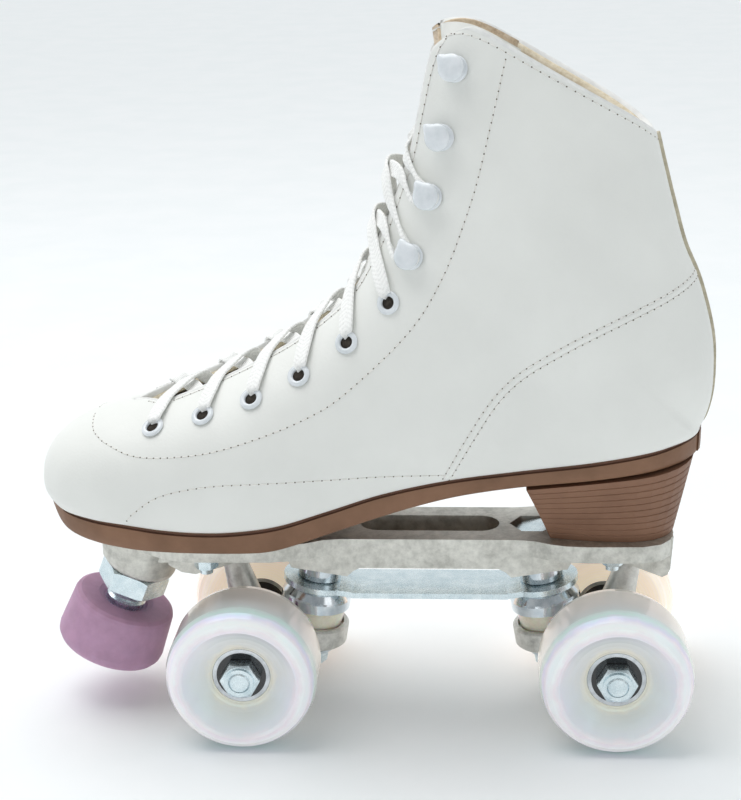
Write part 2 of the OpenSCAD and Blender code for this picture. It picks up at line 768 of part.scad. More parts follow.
// half outline of the beam from the middle to beyond the kingpin
function beam_half() = [
    [0, 61], [26.5, 61], [29, 59.7],
    [31.4, boss_z - (boss_x - 31.4) * tan(kingpin_lean)],
    [52.6, boss_z + (52.6 - boss_x) * tan(kingpin_lean)],
    [54, 63.9], [57, 65.2], [57, plate_top], [0, plate_top]
];
module beam() {
    both_trucks()
        side_profile(beam_half(), beam_hw);
}
module end_blocks() {
    side_profile([
        [50, plate_top], [92.4, plate_top], [91.6, 60], [90.6, 57.4], [88.6, 56.4],
        [73, 62.6], [67, 66.2], [62, 66.6], [56, 65], [50, 64]
    ], 12.6);
    side_profile([
        [-50, plate_top], [-101, plate_top], [-101, 60], [-96, 57], [-90.5, 56.2], [-81, 59],
        [-72, 62.4], [-66, 64.8], [-56, 65], [-50, 64]
    ], 12.6);
}
module flange(points) {
    translate([0, 0, 66.4])
        linear_extrude(height = plate_top - 66.4)
            polygon(concat(points, [for (k = [len(points) - 1 : -1 : 0]) [points[k][0], -points[k][1]]]));
}
module stop_boss() {
    intersection() {
        stop_frame()
            rotate_extrude()
                polygon([
                    [0, 14.5], [11.2, 14.5], [12.9, 15], [14.1, 16.2], [14.6, 18], [14.6, 60], [0, 60]
                ]);
        translate([-140, -20, 40])
            cube([60, 40, plate_top - 40]);
    }
    translate([-114.4, 0, 61])
        cylinder(h = plate_top - 61, r = 14.7);
    translate([-114.4, -12.6, 61])
        cube([16, 25.2, plate_top - 61]);
}
module slot_cut() {
    translate([0, 0, 63.4])
        linear_extrude(height = 20) {
            for (sg = [-1, 1])
                translate([sg * (slot_half - slot_hw), 0])
                    circle(r = slot_hw);
            square([2 * (slot_half - slot_hw), 2 * slot_hw], center = true);
        }
}
module plate() {
    color(cast_grey)
        skate_frame()
            difference() {
                union() {
                    beam();
                    end_blocks();
                    flange([[33, 16.5], [40, 17.6], [46, 20.6], [52, 22.4], [60, 23], [80, 22.6], [87, 20], [91, 15], [92.8, 8]]);
                    flange([[-33, 16.5], [-40, 17.6], [-46, 20.8], [-52, 23], [-60, 24.4], [-92, 24.6], [-100, 22.4], [-108, 17], [-114, 14]]);
                    stop_boss();
                }
                slot_cut();
                both_trucks()
                    kingpin_frame() {
                        translate([0, 0, -30])
                            rotate([0, 0, 0])
                                hex_prism(15.4, 21.9);
                        translate([0, 0, -9])
                            cylinder(h = 20, r = 4.05);
                    }
                both_trucks()
                    arm_frame()
                        translate([0, 0, arm_len - 15])
                            cylinder(h = 21.9, r = 8);
                for (b = bolt_at)
                    translate([b[0], b[1], 60])
                        cylinder(h = 20, r = 2.7);
                for (b = bolt_at)
                    translate([b[0], b[1], 50])
                        cylinder(h = 16.4, r = 5.6);
                stop_frame()
                    translate([0, 0, 8])
                        cylinder(h = 40, r = 8.02);
            }
}

module pivot_cups() {
    color(black_shield)
        skate_frame()
            both_trucks()
                arm_frame()
                    translate([0, 0, arm_len])
                        difference() {
                            translate([0, 0, -2])
                                cylinder(h = 8.8, r = 7.95);
                            sphere(r = 5.07);
                            translate([0, 0, -6])
                                cylinder(h = 6, r = 5.07);
                        }
}

// ---------- kingpins and what they carry ----------
module kingpin() {
    kingpin_frame() {
        translate([0, 0, -8.2])
            rotate([180, 0, 0])
                chamfered_hex(14.8, 4.6, false);
        translate([0, 0, -8.2])
            rotate_extrude()
                polygon([[0, 0], [4, 0], [4, 53.9], [3.2, 54.7], [0, 54.7]]);
    }
}
module rear_kingpin() {
    color(zinc)
        skate_frame()
            kingpin();
}
module front_kingpin() {
    color(zinc)
        skate_frame()
            mirror([1, 0, 0])
                kingpin();
}
// round part on the kingpin axis from a half section [radius, distance down the axis]
module on_kingpins(points) {
    skate_frame()
        both_trucks()
            kingpin_frame()
                rotate_extrude()
                    polygon(points);
}
module kingpin_collars() {
    color(chrome)
        on_kingpins([[4.05, 0.1], [8.1, 0.1], [8.6, 0.6], [8.6, 8.2], [8.1, 8.7], [4.05, 8.7]]);
}
module truck_strap() {
    color(zinc)
        skate_frame()
            difference() {
                union() {
                    translate([-30.3, -11.5, 45.9])
                        cube([60.6, 23, 2.2]);
                    both_trucks()
                        kingpin_frame()
                            translate([0, 0, 8.8]) {
                                cylinder(h = 2.2, r = 14);
                                translate([0, -11.5, 0])
                                    cube([14, 23, 2.2]);
                            }
                }
                both_trucks()
                    kingpin_frame()
                        translate([0, 0, 5])
                            cylinder(h = 10, r = 4.1);
            }
}
module upper_cup_washers() {
    color(chrome)
        on_kingpins([
            [4.1, 11.1], [10.8, 11.1], [13.4, 15.2], [13.7, 16], [13.7, 19.8], [12.6, 19.8],
            [12.6, 16.3], [10.3, 12.5], [4.1, 12.5]
        ]);
}
module lower_cup_washers() {
    color(chrome)
        on_kingpins([[4.1, 37.4], [9.4, 37.4], [9.8, 37.8], [9.8, 38.8], [4.1, 38.8]]);
}
module kingpin_nuts() {
    color(zinc)
        skate_frame()
            both_trucks()
                kingpin_frame()
                    translate([0, 0, 38.85])
                        difference() {
                            chamfered_hex(14, 6.6, false);
                            translate([0, 0, -1])
                                cylinder(h = 9, r = 4.02);
                        }
}
module upper_cushion() {
    r = cushion_d / 2;
    kingpin_frame()
        rotate_extrude()
            polygon([
                [4.3, 12.6], [9.9, 12.6], [r, 16.6], [r, 21], [r - 0.5, 26], [r - 0.9, 29.05], [4.3, 29.05]
            ]);
}
module lower_cushion() {
    kingpin_frame()
        rotate_extrude()
            polygon([[4.3, 32.9], [9.8, 32.9], [9.6, 35.4], [9.1, 37.3], [4.3, 37.3]]);
}
module rear_upper_cushion() {
    color(cushion_cream)
        skate_frame()
            upper_cushion();
}
module rear_lower_cushion() {
    color(cushion_cream)
        skate_frame()
            lower_cushion();
}
module front_upper_cushion() {
    color(cushion_cream)
        skate_frame()
            mirror([1, 0, 0])
                upper_cushion();
}
module front_lower_cushion() {
    color(cushion_cream)
        skate_frame()
            mirror([1, 0, 0])
                lower_cushion();
}

// ---------- trucks ----------
// half section turned about the axle line: [radius, distance along Y]
module about_axle(points) {
    translate([axle_x, 0, axle_z])
        rotate([-90, 0, 0])
            rotate_extrude()
                polygon(points);
}
seat_in = wheel_in + 1.8;
seat_out = seat_in + 22;
module hanger() {
    r = ring_d / 2;
    cup_r = cushion_d / 2 + 0.4;
    kingpin_frame()
        rotate_extrude()
            polygon([
                [cup_r, 26.7], [r - 0.8, 26.7], [r, 27.5], [r, 34.4], [r - 0.8, 35.2], [10.4, 35.2],
                [10.4, 32.8], [7, 32.8], [7, 29.15], [cup_r, 29.15]
            ]);
    difference() {
        union() {
            translate([0, 0, 24])
                linear_extrude(height = 9)
                    polygon([
                        [50, -13.2], [56, -12.4], [62, -12], [72, -9], [72, 9], [62, 12],
                        [56, 12.4], [50, 13.2]
                    ]);
            about_axle([
                [0, -seat_in + 0.1], [6, -seat_in + 0.1], [6.3, -16.5], [8.9, -9], [8.9, 9],
                [6.3, 16.5], [6, seat_in - 0.1], [0, seat_in - 0.1]
            ]);
            arm_frame()
                rotate_extrude()
                    polygon(concat(
                        [[0, 3], [7.9, 3], [4.4, arm_len - 4.4]],
                        [for (a = [-55 : 11 : 77]) [5 * cos(a), arm_len + 5 * sin(a)]],
                        [[0, arm_len + 5]]
                    ));
        }
        kingpin_frame()
            translate([0, 0, 10])
                cylinder(h = 40, r = r - 1.2);
        translate([axle_x, 40, axle_z])
            rotate([90, 0, 0])
                cylinder(h = 80, r = 4.02);
    }
}
module rear_hanger() {
    color(cast_grey)
        skate_frame()
            hanger();
}
module front_hanger() {
    color(cast_grey)
        skate_frame()
            mirror([1, 0, 0])
                hanger();
}
axle_end = seat_out + 6.6;
module axle() {
    about_axle([
        [0, -axle_end], [3.4, -axle_end], [4, -axle_end + 0.6], [4, axle_end - 0.6],
        [3.4, axle_end], [0, axle_end]
    ]);
}
module rear_axle() {
    color(zinc)
        skate_frame()
            axle();
}
module front_axle() {
    color(zinc)
        skate_frame()
            mirror([1, 0, 0])
                axle();
}
module axle_nuts() {
    for (sg = [-1, 1])
        translate([axle_x, sg * (seat_out + 0.1), axle_z])
            rotate([-90 * sg, 0, 0])
                difference() {
                    union() {
                        chamfered_hex(13, 5.2, false);
                        cylinder(h = 6.1, r = 5.4);
                    }
                    translate([0, 0, -1])
                        cylinder(h = 9, r = 4.02);
                }
}
module rear_axle_nuts() {
    color(zinc)
        skate_frame()
            axle_nuts();
}
module front_axle_nuts() {
    color(zinc)
        skate_frame()
            mirror([1, 0, 0])
                axle_nuts();
}

// ---------- wheels and bearings ----------
ball_ring = 7.5;
race_r = 2.02;
ball_r = 1.95;
bearing_w = 7;
// positions of the two bearings of a wheel, by their inner-side faces
bearing_at = [seat_in, seat_out - bearing_w];

// a wheel's half section on the +Y side: [radius, distance along Y]
function wheel_section() =
    let (r = wheel_d / 2, a = wheel_in, b = wheel_in + wheel_w)
    [
        [11, seat_in], [12.4, seat_in - 0.1], [15, a + 1.4], [19, a + 0.6], [lip_r, a],
        [r - 4, a + 0.4], [r - 2, a + 2], [r - 0.7, a + 4.4], [r, a + 7.6],
        [r, b - 7.6], [r - 0.7, b - 4.4], [r - 2, b - 2], [r - 4, b - 0.4], [lip_r, b],
        [lip_r - 1.2, b - 0.5], [lip_r - 3, b - 2.3], [17, b - 4.6], [14.6, b - 6.4],
        [12.9, seat_out + 0.8], [12, seat_out + 0.5], [11.5, seat_out + 0.1], [11, seat_out],
        [11, seat_out - bearing_w], [9.5, seat_out - bearing_w], [9.5, seat_in + bearing_w],
        [11, seat_in + bearing_w]
    ];
// places a rear left-or-right part at one of the four corners
module corner(front, left) {
    skate_frame()
        mirror([front ? 1 : 0, 0, 0])
            mirror([0, left ? 1 : 0, 0])
                children();
}
module wheel(front, left) {
    color(wheel_white)
        corner(front, left)
            about_axle(wheel_section());
}
module races(front, left, points) {
    corner(front, left)
        for (y = bearing_at)
            translate([0, y, 0])
                difference() {
                    about_axle(points);
                    translate([axle_x, bearing_w / 2, axle_z])
                        rotate([90, 0, 0])
                            rotate_extrude()
                                translate([ball_ring, 0])
                                    circle(r = race_r);
                }
}
module outer_rings(front, left) {
    w = bearing_w;
    color(zinc)
        races(front, left, [
            [10.98, 0.2], [10.98, w - 0.2], [10.8, w - 0.02], [9.35, w - 0.02], [9.35, w - 0.6], [9, w - 0.6],
            [9, 0.6], [9.35, 0.6], [9.35, 0.02], [10.8, 0.02]
        ]);
}
module inner_rings(front) {
    w = bearing_w;
    color(zinc) {
        races(front, false, [[4.02, 0], [6.1, 0], [6.1, w], [4.02, w]]);
        races(front, true, [[4.02, 0], [6.1, 0], [6.1, w], [4.02, w]]);
    }
}
module shields(front, left) {
    color(black_shield)
        corner(front, left)
            for (y = bearing_at)
                for (d = [0.2, bearing_w - 0.55])
                    translate([0, y + d, 0])
                        about_axle([[6.4, 0], [9.33, 0], [9.33, 0.35], [6.4, 0.35]]);
}
module balls(front, left) {
    color(zinc)
        corner(front, left)
            for (y = bearing_at) {
                translate([axle_x, y + bearing_w / 2, axle_z])
                    for (k = [0 : 6])
                        rotate([0, k * 360 / 7, 0])
                            translate([ball_ring, 0, 0])
                                sphere(r = ball_r);
                translate([0, y + bearing_w / 2 + 2, 0])
                    about_axle([[7, 0], [8, 0], [8, 0.5], [7, 0.5]]);
            }
}
module front_inner_rings() { inner_rings(true); }
module rear_inner_rings() { inner_rings(false); }
module wheel_fl() { wheel(true, true); }
module wheel_fr() { wheel(true, false); }
module wheel_rl() { wheel(false, true); }
module wheel_rr() { wheel(false, false); }
module outer_rings_fl() { outer_rings(true, true); }
module outer_rings_fr() { outer_rings(true, false); }
module outer_rings_rl() { outer_rings(false, true); }
module outer_rings_rr() { outer_rings(false, false); }
module shields_fl() { shields(true, true); }
module shields_fr() { shields(true, false); }
module shields_rl() { shields(false, true); }
module shields_rr() { shields(false, false); }
module balls_fl() { balls(true, true); }
module balls_fr() { balls(true, false); }
module balls_rl() { balls(false, true); }
module balls_rr() { balls(false, false); }

// ---------- mounting bolts ----------
// height of the board's seat for the bolt heads, under the ball and under the heel
head_z = [86.6, 86.6, 113.0, 113.0];
module mounting_bolts() {
    color(zinc)
        skate_frame()
            for (k = [0 : 3])
                translate([bolt_at[k][0], bolt_at[k][1], 0]) {
                    translate([0, 0, 60])
                        cylinder(h = head_z[k] - 60, r = 2.5);
                    translate([0, 0, head_z[k]])
                        cylinder(h = 1.6, r = 4.4);
                }
}
module mounting_nuts() {
    color(zinc)
        skate_frame()
            for (b = bolt_at)
                translate([b[0], b[1], 66.35])
                    rotate([180, 0, 0])
                        difference() {
                            union() {
                                cylinder(h = 0.7, r = 5);
                                chamfered_hex(8, 4.4, false);
                            }
                            translate([0, 0, -1])
                                cylinder(h = 7, r = 2.52);
                        }
}

// ---------- toe stop ----------
thread_pitch = 2.117;
stem_r = 7.94;
module toe_stop_stem() {
    threads = 12;
    low = 0.8;
    profile = concat(
        [[0, -9.6], [12.6, -9.6], [12.6, -7.4], [stem_r, -7.4]],
        [for (k = [0 : threads - 1]) each [
            [stem_r, low + k * thread_pitch],
            [stem_r - 0.95, low + (k + 0.5) * thread_pitch],
            [stem_r, low + (k + 0.9) * thread_pitch]
        ]],
        [[stem_r, 27], [stem_r - 1, 28], [0, 28]]
    );
    color(zinc)
        skate_frame()
            stop_frame()
                rotate_extrude()
                    polygon(profile);
}
module toe_stop_pad() {
    rt = pad_top_d / 2;
    rf = pad_foot_d / 2;
    color(pad_mauve)
        skate_frame()
            stop_frame()
                rotate_extrude()
                    polygon([
                        [0, -pad_h], [rf - 3.4, -pad_h], [rf - 1.4, -pad_h + 0.8], [rf - 0.3, -pad_h + 2.4],
                        [rf, -pad_h + 4.4], [rt + 0.3, -2.4], [rt - 0.2, -1], [rt - 1.6, -0.1],
                        [rt - 3, 0], [11.2, 0], [9.2, -0.8], [8.6, -1.6], [8, -1.6], [8, -7.1],
                        [12.66, -7.1], [12.66, -9.9], [0, -9.9]
                    ]);
}
module toe_stop_lock_nut() {
    color(zinc)
        skate_frame()
            stop_frame()
                translate([0, 0, 6.2])
                    difference() {
                        chamfered_hex(23.8, 8.2, true);
                        translate([0, 0, -1])
                            cylinder(h = 12, r = 8.02);
                    }
}

boot_vamp();
left_quarter();
right_quarter();
boot_lining();
heel_counter();
toe_puff();
tongue();
insole_board();
insole();
outsole();
heel_block();
eyelets();
lace_hooks();
mounting_bolts();
mounting_nuts();
plate();
pivot_cups();
front_kingpin();
rear_kingpin();
kingpin_collars();
truck_strap();
upper_cup_washers();
lower_cup_washers();
kingpin_nuts();
front_upper_cushion();
front_lower_cushion();
rear_upper_cushion();
rear_lower_cushion();
front_hanger();
front_axle();
front_axle_nuts();
front_inner_rings();
rear_hanger();
rear_axle();
rear_axle_nuts();
rear_inner_rings();
wheel_fl();
outer_rings_fl();
shields_fl();
balls_fl();
wheel_fr();
outer_rings_fr();
shields_fr();
balls_fr();
wheel_rl();
outer_rings_rl();
shields_rl();
balls_rl();
wheel_rr();
outer_rings_rr();
shields_rr();
balls_rr();
toe_stop_stem();
toe_stop_pad();
toe_stop_lock_nut();
lace();
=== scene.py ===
import math

import bmesh
import bpy
import numpy as np
from mathutils import Matrix, Vector


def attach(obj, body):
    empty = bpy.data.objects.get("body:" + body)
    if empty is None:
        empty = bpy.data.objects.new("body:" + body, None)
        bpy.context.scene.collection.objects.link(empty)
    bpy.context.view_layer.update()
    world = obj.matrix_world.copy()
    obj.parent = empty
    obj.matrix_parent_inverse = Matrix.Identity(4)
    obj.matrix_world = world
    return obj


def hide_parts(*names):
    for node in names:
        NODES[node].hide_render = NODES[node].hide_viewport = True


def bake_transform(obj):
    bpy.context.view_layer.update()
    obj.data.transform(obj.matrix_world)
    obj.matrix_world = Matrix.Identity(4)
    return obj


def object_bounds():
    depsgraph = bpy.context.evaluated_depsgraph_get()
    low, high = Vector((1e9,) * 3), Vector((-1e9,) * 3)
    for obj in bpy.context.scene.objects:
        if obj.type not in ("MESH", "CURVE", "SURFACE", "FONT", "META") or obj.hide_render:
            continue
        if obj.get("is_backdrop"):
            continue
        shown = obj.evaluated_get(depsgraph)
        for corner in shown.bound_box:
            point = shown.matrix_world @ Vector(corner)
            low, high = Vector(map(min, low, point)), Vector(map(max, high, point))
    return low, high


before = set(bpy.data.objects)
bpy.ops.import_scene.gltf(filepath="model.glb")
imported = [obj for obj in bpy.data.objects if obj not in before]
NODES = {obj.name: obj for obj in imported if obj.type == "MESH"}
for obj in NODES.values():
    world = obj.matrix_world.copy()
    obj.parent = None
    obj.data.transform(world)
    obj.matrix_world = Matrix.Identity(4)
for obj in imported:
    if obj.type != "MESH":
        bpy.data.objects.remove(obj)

CAD_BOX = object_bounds()
SHIFT = 21.5  # the boot and trucks are laid out from the middle of the wheelbase, in mm


# ---------- camera, light and floor ----------
def aim(obj, place, yaw, pitch, roll=0.0):
    """Turns a camera or lamp: yaw toward -x and pitch down, in degrees."""
    y, p, r = (math.radians(v) for v in (yaw, pitch, roll))
    fwd = Vector((-math.sin(y) * math.cos(p), math.cos(y) * math.cos(p), -math.sin(p)))
    right = Vector((math.cos(y), math.sin(y), 0))
    up = right.cross(fwd)
    r2 = right * math.cos(r) + up * math.sin(r)
    u2 = up * math.cos(r) - right * math.sin(r)
    turn = Matrix((r2, u2, -fwd)).transposed().to_4x4()
    obj.matrix_world = Matrix.Translation(place) @ turn


cam_data = bpy.data.cameras.new("camera")
camera = bpy.data.objects.new("camera", cam_data)
bpy.context.collection.objects.link(camera)
cam_data.sensor_fit = "HORIZONTAL"
cam_data.sensor_width = 36
cam_data.lens = 79.53
cam_data.clip_start = 0.05
aim(camera, (0.0401, -0.589, 0.3178), 3.95, 18.24, -1.21)
bpy.context.scene.camera = camera


def area_light(name, place, target, size, power, colour=(1, 1, 1)):
    data = bpy.data.lights.new(name, "AREA")
    data.shape = "RECTANGLE"
    data.size, data.size_y = size
    data.energy = power
    data.color = colour
    lamp = bpy.data.objects.new(name, data)
    bpy.context.collection.objects.link(lamp)
    d = Vector(target) - Vector(place)
    lamp.matrix_world = Matrix.Translation(place) @ d.to_track_quat("-Z", "Y").to_matrix().to_4x4()


area_light("key_top", (-0.35, 0.1, 1.2), (0.0, 0.0, 0.1), (1.0, 0.9), 4.5)
area_light("right_fill", (0.95, -0.75, 0.45), (0.0, 0.0, 0.12), (0.5, 0.7), 0.8)
area_light("low_fill", (-0.1, -1.3, 0.16), (0.0, 0.0, 0.04), (1.6, 0.25), 1.5)
sun_data = bpy.data.lights.new("soft_sun", "SUN")
sun_data.energy = 0.95
sun_data.angle = math.radians(55)
sun = bpy.data.objects.new("soft_sun", sun_data)
bpy.context.collection.objects.link(sun)
sun.matrix_world = Vector((0.32, -0.22, -1.0)).to_track_quat("-Z", "Y").to_matrix().to_4x4()

scene = bpy.context.scene
scene.view_settings.view_transform = "Standard"
world = scene.world or bpy.data.worlds.new("World")
scene.world = world
world.use_nodes = True
wt = world.node_tree
direction = wt.nodes.new("ShaderNodeSeparateXYZ")
wt.links.new(wt.nodes.new("ShaderNodeTexCoord").outputs["Generated"], direction.inputs[0])
toward = wt.nodes.new("ShaderNodeMapRange")
for key, value in (("From Min", -0.8), ("From Max", 0.8), ("To Min", 0.35), ("To Max", 0.9)):
    toward.inputs[key].default_value = value
wt.links.new(direction.outputs[1], toward.inputs["Value"])
wt.links.new(toward.outputs[0], wt.nodes["Background"].inputs["Strength"])
wt.nodes["Background"].inputs["Color"].default_value = (0.95, 0.985, 1.0, 1)


# ---------- materials ----------
def rgb(r, g, b):
    """Linear colour from 0 to 255 display values."""
    return tuple(c / 12.92 if c <= 0.04045 else ((c + 0.055) / 1.055) ** 2.4 for c in (r / 255, g / 255,
        b / 255)) + (1,)


class Shade:
    """A Principled material and the nodes that feed it; sizes are in mm."""

    def __init__(self, name, **sockets):
        self.mat = bpy.data.materials.new(name)
        self.mat.use_nodes = True
        self.tree = self.mat.node_tree
        self.bsdf = self.tree.nodes["Principled BSDF"]
        self.coords = self.tree.nodes.new("ShaderNodeTexCoord")
        self.set(**sockets)

    def set(self, **sockets):
        for key, value in sockets.items():
            socket = self.bsdf.inputs[key.replace("_", " ")]
            if isinstance(value, bpy.types.NodeSocket):
                self.tree.links.new(value, socket)
            else:
                socket.default_value = value

    def node(self, kind, inputs=(), **props):
        n = self.tree.nodes.new("ShaderNode" + kind)
        for key, value in props.items():
            setattr(n, key, value)
        for key, value in dict(inputs).items():
            if isinstance(value, bpy.types.NodeSocket):
                self.tree.links.new(value, n.inputs[key])
            else:
                n.inputs[key].default_value = value
        return n

    def at(self, stretch=(1, 1, 1), uv=False):
        source = self.coords.outputs["UV" if uv else "Object"]
        return self.node("Mapping", {"Vector": source, "Scale": stretch}).outputs[0]

    def noise(self, size, detail=3.0, rough=0.5, stretch=(1, 1, 1), uv=False):
        scale = 1.0 / size if uv else 1000.0 / size
        n = self.node("TexNoise", {"Vector": self.at(stretch, uv), "Scale": scale, "Detail": detail,
            "Roughness": rough})
        return n.outputs["Fac"]

    def cells(self, size, smooth=0.4):
        n = self.node("TexVoronoi", {"Vector": self.at(), "Scale": 1000.0 / size}, feature="SMOOTH_F1")
        n.inputs["Smoothness"].default_value = smooth
        return n.outputs["Distance"]

    def ramp(self, fac, stops):
        n = self.node("ValToRGB", {"Fac": fac})
        e = n.color_ramp.elements
        while len(e) < len(stops):
            e.new(0.5)
        for element, (place, colour) in zip(e, stops):
            element.position = place
            element.color = colour if len(colour) == 4 else colour + (1,)
        return n.outputs["Color"]

    def math(self, op, a, b=0.0, clamp=False):
        n = self.node("Math", {0: a, 1: b}, operation=op, use_clamp=clamp)
        return n.outputs[0]

    def mix(self, fac, a, b, how="MIX"):
        n = self.node("Mix", data_type="RGBA", blend_type=how)
        for key, value in ((0, fac), (6, a), (7, b)):
            if isinstance(value, bpy.types.NodeSocket):
                self.tree.links.new(value, n.inputs[key])
            else:
                n.inputs[key].default_value = value
        return n.outputs[2]

    def bump(self, height, depth, strength=1.0, under=None):
        inputs = {"Height": height, "Distance": depth / 1000.0, "Strength": strength}
        if under is not None:
            inputs["Normal"] = under
        out = self.node("Bump", inputs).outputs[0]
        self.set(Normal=out)
        return out

    def range(self, value, lo, hi):
        return self.node("MapRange", {"Value": value, "To Min": lo, "To Max": hi}).outputs[0]


def plain(name, dark, light, rough, spot=9.0, grain=0.6, depth=0.03, metal=0.0, vary=0.12,
    stretch=(1, 1, 1), **sockets):
    """Two mixed tones, grain in the normal and a varied gloss."""
    m = Shade(name, Metallic=metal, **sockets)
    tone = m.noise(spot, 4.0, 0.6)
    m.set(Base_Color=m.ramp(tone, [(0.36, rgb(*dark)), (0.64, rgb(*light))]))
    fine = m.noise(grain, 3.0, 0.6, stretch)
    m.set(Roughness=m.range(fine, rough - vary, rough + vary))
    wide = m.bump(m.noise(spot * 0.5, 2.0), depth * 4, 0.25)
    m.bump(fine, depth, 0.6, wide)
    return m


def leather():
    m = Shade("white_leather", Specular_IOR_Level=0.42)
    tone = m.noise(34.0, 3.0, 0.5)
    m.set(Base_Color=m.ramp(tone, [(0.3, rgb(231, 232, 228)), (0.7, rgb(238, 239, 235))]))
    grain = m.cells(0.95, 0.5)
    pores = m.noise(0.42, 2.0, 0.6)
    m.set(Roughness=m.range(grain, 0.42, 0.56))
    wide = m.bump(m.noise(16.0, 3.0, 0.55), 0.22, 0.5)
    mid = m.bump(grain, 0.05, 0.7, wide)
    m.bump(pores, 0.02, 0.5, mid)
    return m.mat


def fleece():
    m = Shade("fleece", Roughness=0.95, Sheen_Weight=0.35, Sheen_Roughness=0.6)
    pile = m.noise(1.7, 6.0, 0.7)
    wide = m.noise(7.0, 3.0, 0.6)
    mixed = m.math("ADD", m.math("MULTIPLY", pile, 0.65), m.math("MULTIPLY", wide, 0.35))
    m.set(Base_Color=m.ramp(mixed, [(0.34, rgb(186, 160, 128)), (0.5, rgb(222, 200, 170)),
        (0.66, rgb(240, 224, 200))]))
    m.bump(pile, 0.5, 0.9)
    return m.mat


def lace_weave():
    m = Shade("lace_weave", Roughness=0.82, Sheen_Weight=0.25, Sheen_Roughness=0.5)
    uv = m.node("SeparateXYZ", {"Vector": m.at(uv=True)})
    across, along = uv.outputs[0], uv.outputs[1]
    bias = m.math("MULTIPLY", m.math("ABSOLUTE", m.math("SUBTRACT", across, 0.5)), 2.2)
    rows = m.math("SINE", m.math("MULTIPLY", m.math("ADD", m.math("MULTIPLY", along, 1.6), bias), 6.2832))
    strands = m.math("SINE", m.math("MULTIPLY", across, 62.8))
    weave = m.math("MULTIPLY", m.math("ADD", m.math("MULTIPLY", rows, 0.7), strands), 0.2)
    height = m.math("ADD", weave, m.noise(0.5, 3.0), True)
    # the colour follows the weave's height, darker where it is low: painted shade between the strands, with
    # random tone from the noise
    m.set(Base_Color=m.ramp(height, [(0.1, rgb(226, 227, 224)), (0.5, rgb(248, 248, 246)),
        (0.9, rgb(254, 254, 252))]))
    m.bump(height, 0.14, 0.8)
    return m.mat


def soling(name, dark, light):
    m = Shade(name, Specular_IOR_Level=0.35)
    tone = m.noise(18.0, 4.0, 0.55)
    m.set(Base_Color=m.ramp(tone, [(0.3, rgb(*dark)), (0.7, rgb(*light))]))
    streaks = m.noise(1.6, 4.0, 0.6, (0.12, 0.12, 1.6))
    m.set(Roughness=m.range(streaks, 0.45, 0.68))
    m.bump(streaks, 0.04, 0.6, m.bump(m.noise(7.0), 0.1, 0.3))
    return m.mat


def cast(name, dark, light):
    m = Shade(name, Metallic=0.85)
    spots = m.noise(3.4, 5.0, 0.68)
    wide = m.noise(16.0, 3.0, 0.6)
    mixed = m.math("ADD", m.math("MULTIPLY", spots, 0.6), m.math("MULTIPLY", wide, 0.4))
    m.set(Base_Color=m.ramp(mixed, [(0.36, rgb(*dark)), (0.52, rgb(*light)),
        (0.64, rgb(*(min(255, c + 18) for c in light)))]))
    m.set(Roughness=m.range(spots, 0.36, 0.62))
    rough = m.bump(m.noise(1.1, 4.0, 0.65), 0.12, 0.55)
    m.bump(m.noise(5.0, 3.0), 0.25, 0.35, rough)
    return m.mat


def turned(name, dark, light, rough=0.2, coat=0.0):
    """Plated or chromed metal with fine marks and slightly uneven gloss."""
    m = Shade(name, Metallic=1.0, Coat_Weight=coat, Coat_Roughness=0.08)
    tone = m.noise(6.0, 4.0, 0.6)
    m.set(Base_Color=m.ramp(tone, [(0.3, rgb(*dark)), (0.7, rgb(*light))]))
    marks = m.noise(1.3, 4.0, 0.7)
    m.set(Roughness=m.range(marks, rough * 0.7, rough * 1.4))
    m.bump(marks, 0.02, 0.4)
    return m.mat


def wheel_radius(m, cx):
    """Distance from the axle line, in mm, at that x."""
    xyz = m.node("SeparateXYZ", {"Vector": m.coords.outputs["Object"]})
    dx = m.math("MULTIPLY", m.math("SUBTRACT", xyz.outputs[0], cx / 1000), 1000.0)
    dz = m.math("MULTIPLY", m.math("SUBTRACT", xyz.outputs[2], 0.0285), 1000.0)
    r = m.math("SQRT", m.math("ADD", m.math("MULTIPLY", dx, dx), m.math("MULTIPLY", dz, dz)))
    y = m.math("MULTIPLY", m.math("ABSOLUTE", xyz.outputs[1]), 1000.0)
    return r, y


def urethane(name, cx, face, tread, rings):
    """Milky wheel: side colours follow the radius, tread colours the width; the bands also hold painted
    highlights, painted reflections and, on the far wheels, painted light coming through the urethane.
    """
    m = Shade(name, Roughness=0.16, IOR=1.5, Subsurface_Weight=0.35, Subsurface_Scale=0.006,
              Coat_Weight=0.6, Coat_Roughness=0.06, Thin_Film_Thickness=380.0 if not rings else 0.0)
    m.set(Subsurface_Radius=(1.0, 0.95, 0.85))
    r, y = wheel_radius(m, cx)
    cloud = m.math("MULTIPLY", m.math("SUBTRACT", m.noise(9.0, 3.0, 0.6), 0.5), 5.0 if not rings else 0.8)
    by_r = m.ramp(m.math("DIVIDE", m.math("ADD", r, cloud), 28.5, True), face)
    by_y = m.ramp(m.math("DIVIDE", m.math("SUBTRACT", m.math("ADD", y, cloud), 19.0), 32.0, True), tread)
    outer = m.math("SUBTRACT", m.math("MULTIPLY", r, 0.55), 13.9, True)
    colour = m.mix(outer, by_r, by_y)
    if rings:
        lines = m.math("SINE", m.math("MULTIPLY", r, 5.0))
        colour = m.mix(m.math("MULTIPLY", m.math("ADD", lines, 1.0), 0.06), colour, rgb(205, 170, 150))
        m.bump(lines, 0.03, 0.4)
    else:
        m.bump(m.noise(2.2, 4.0), 0.03, 0.35)
    # a weak glow stands for light that comes through the urethane
    m.set(Base_Color=colour, Emission_Color=colour, Emission_Strength=0.45 if rings else 0.13)
    return m.mat


def stops(*pairs):
    return [(place, rgb(*colour)) for place, colour in pairs]
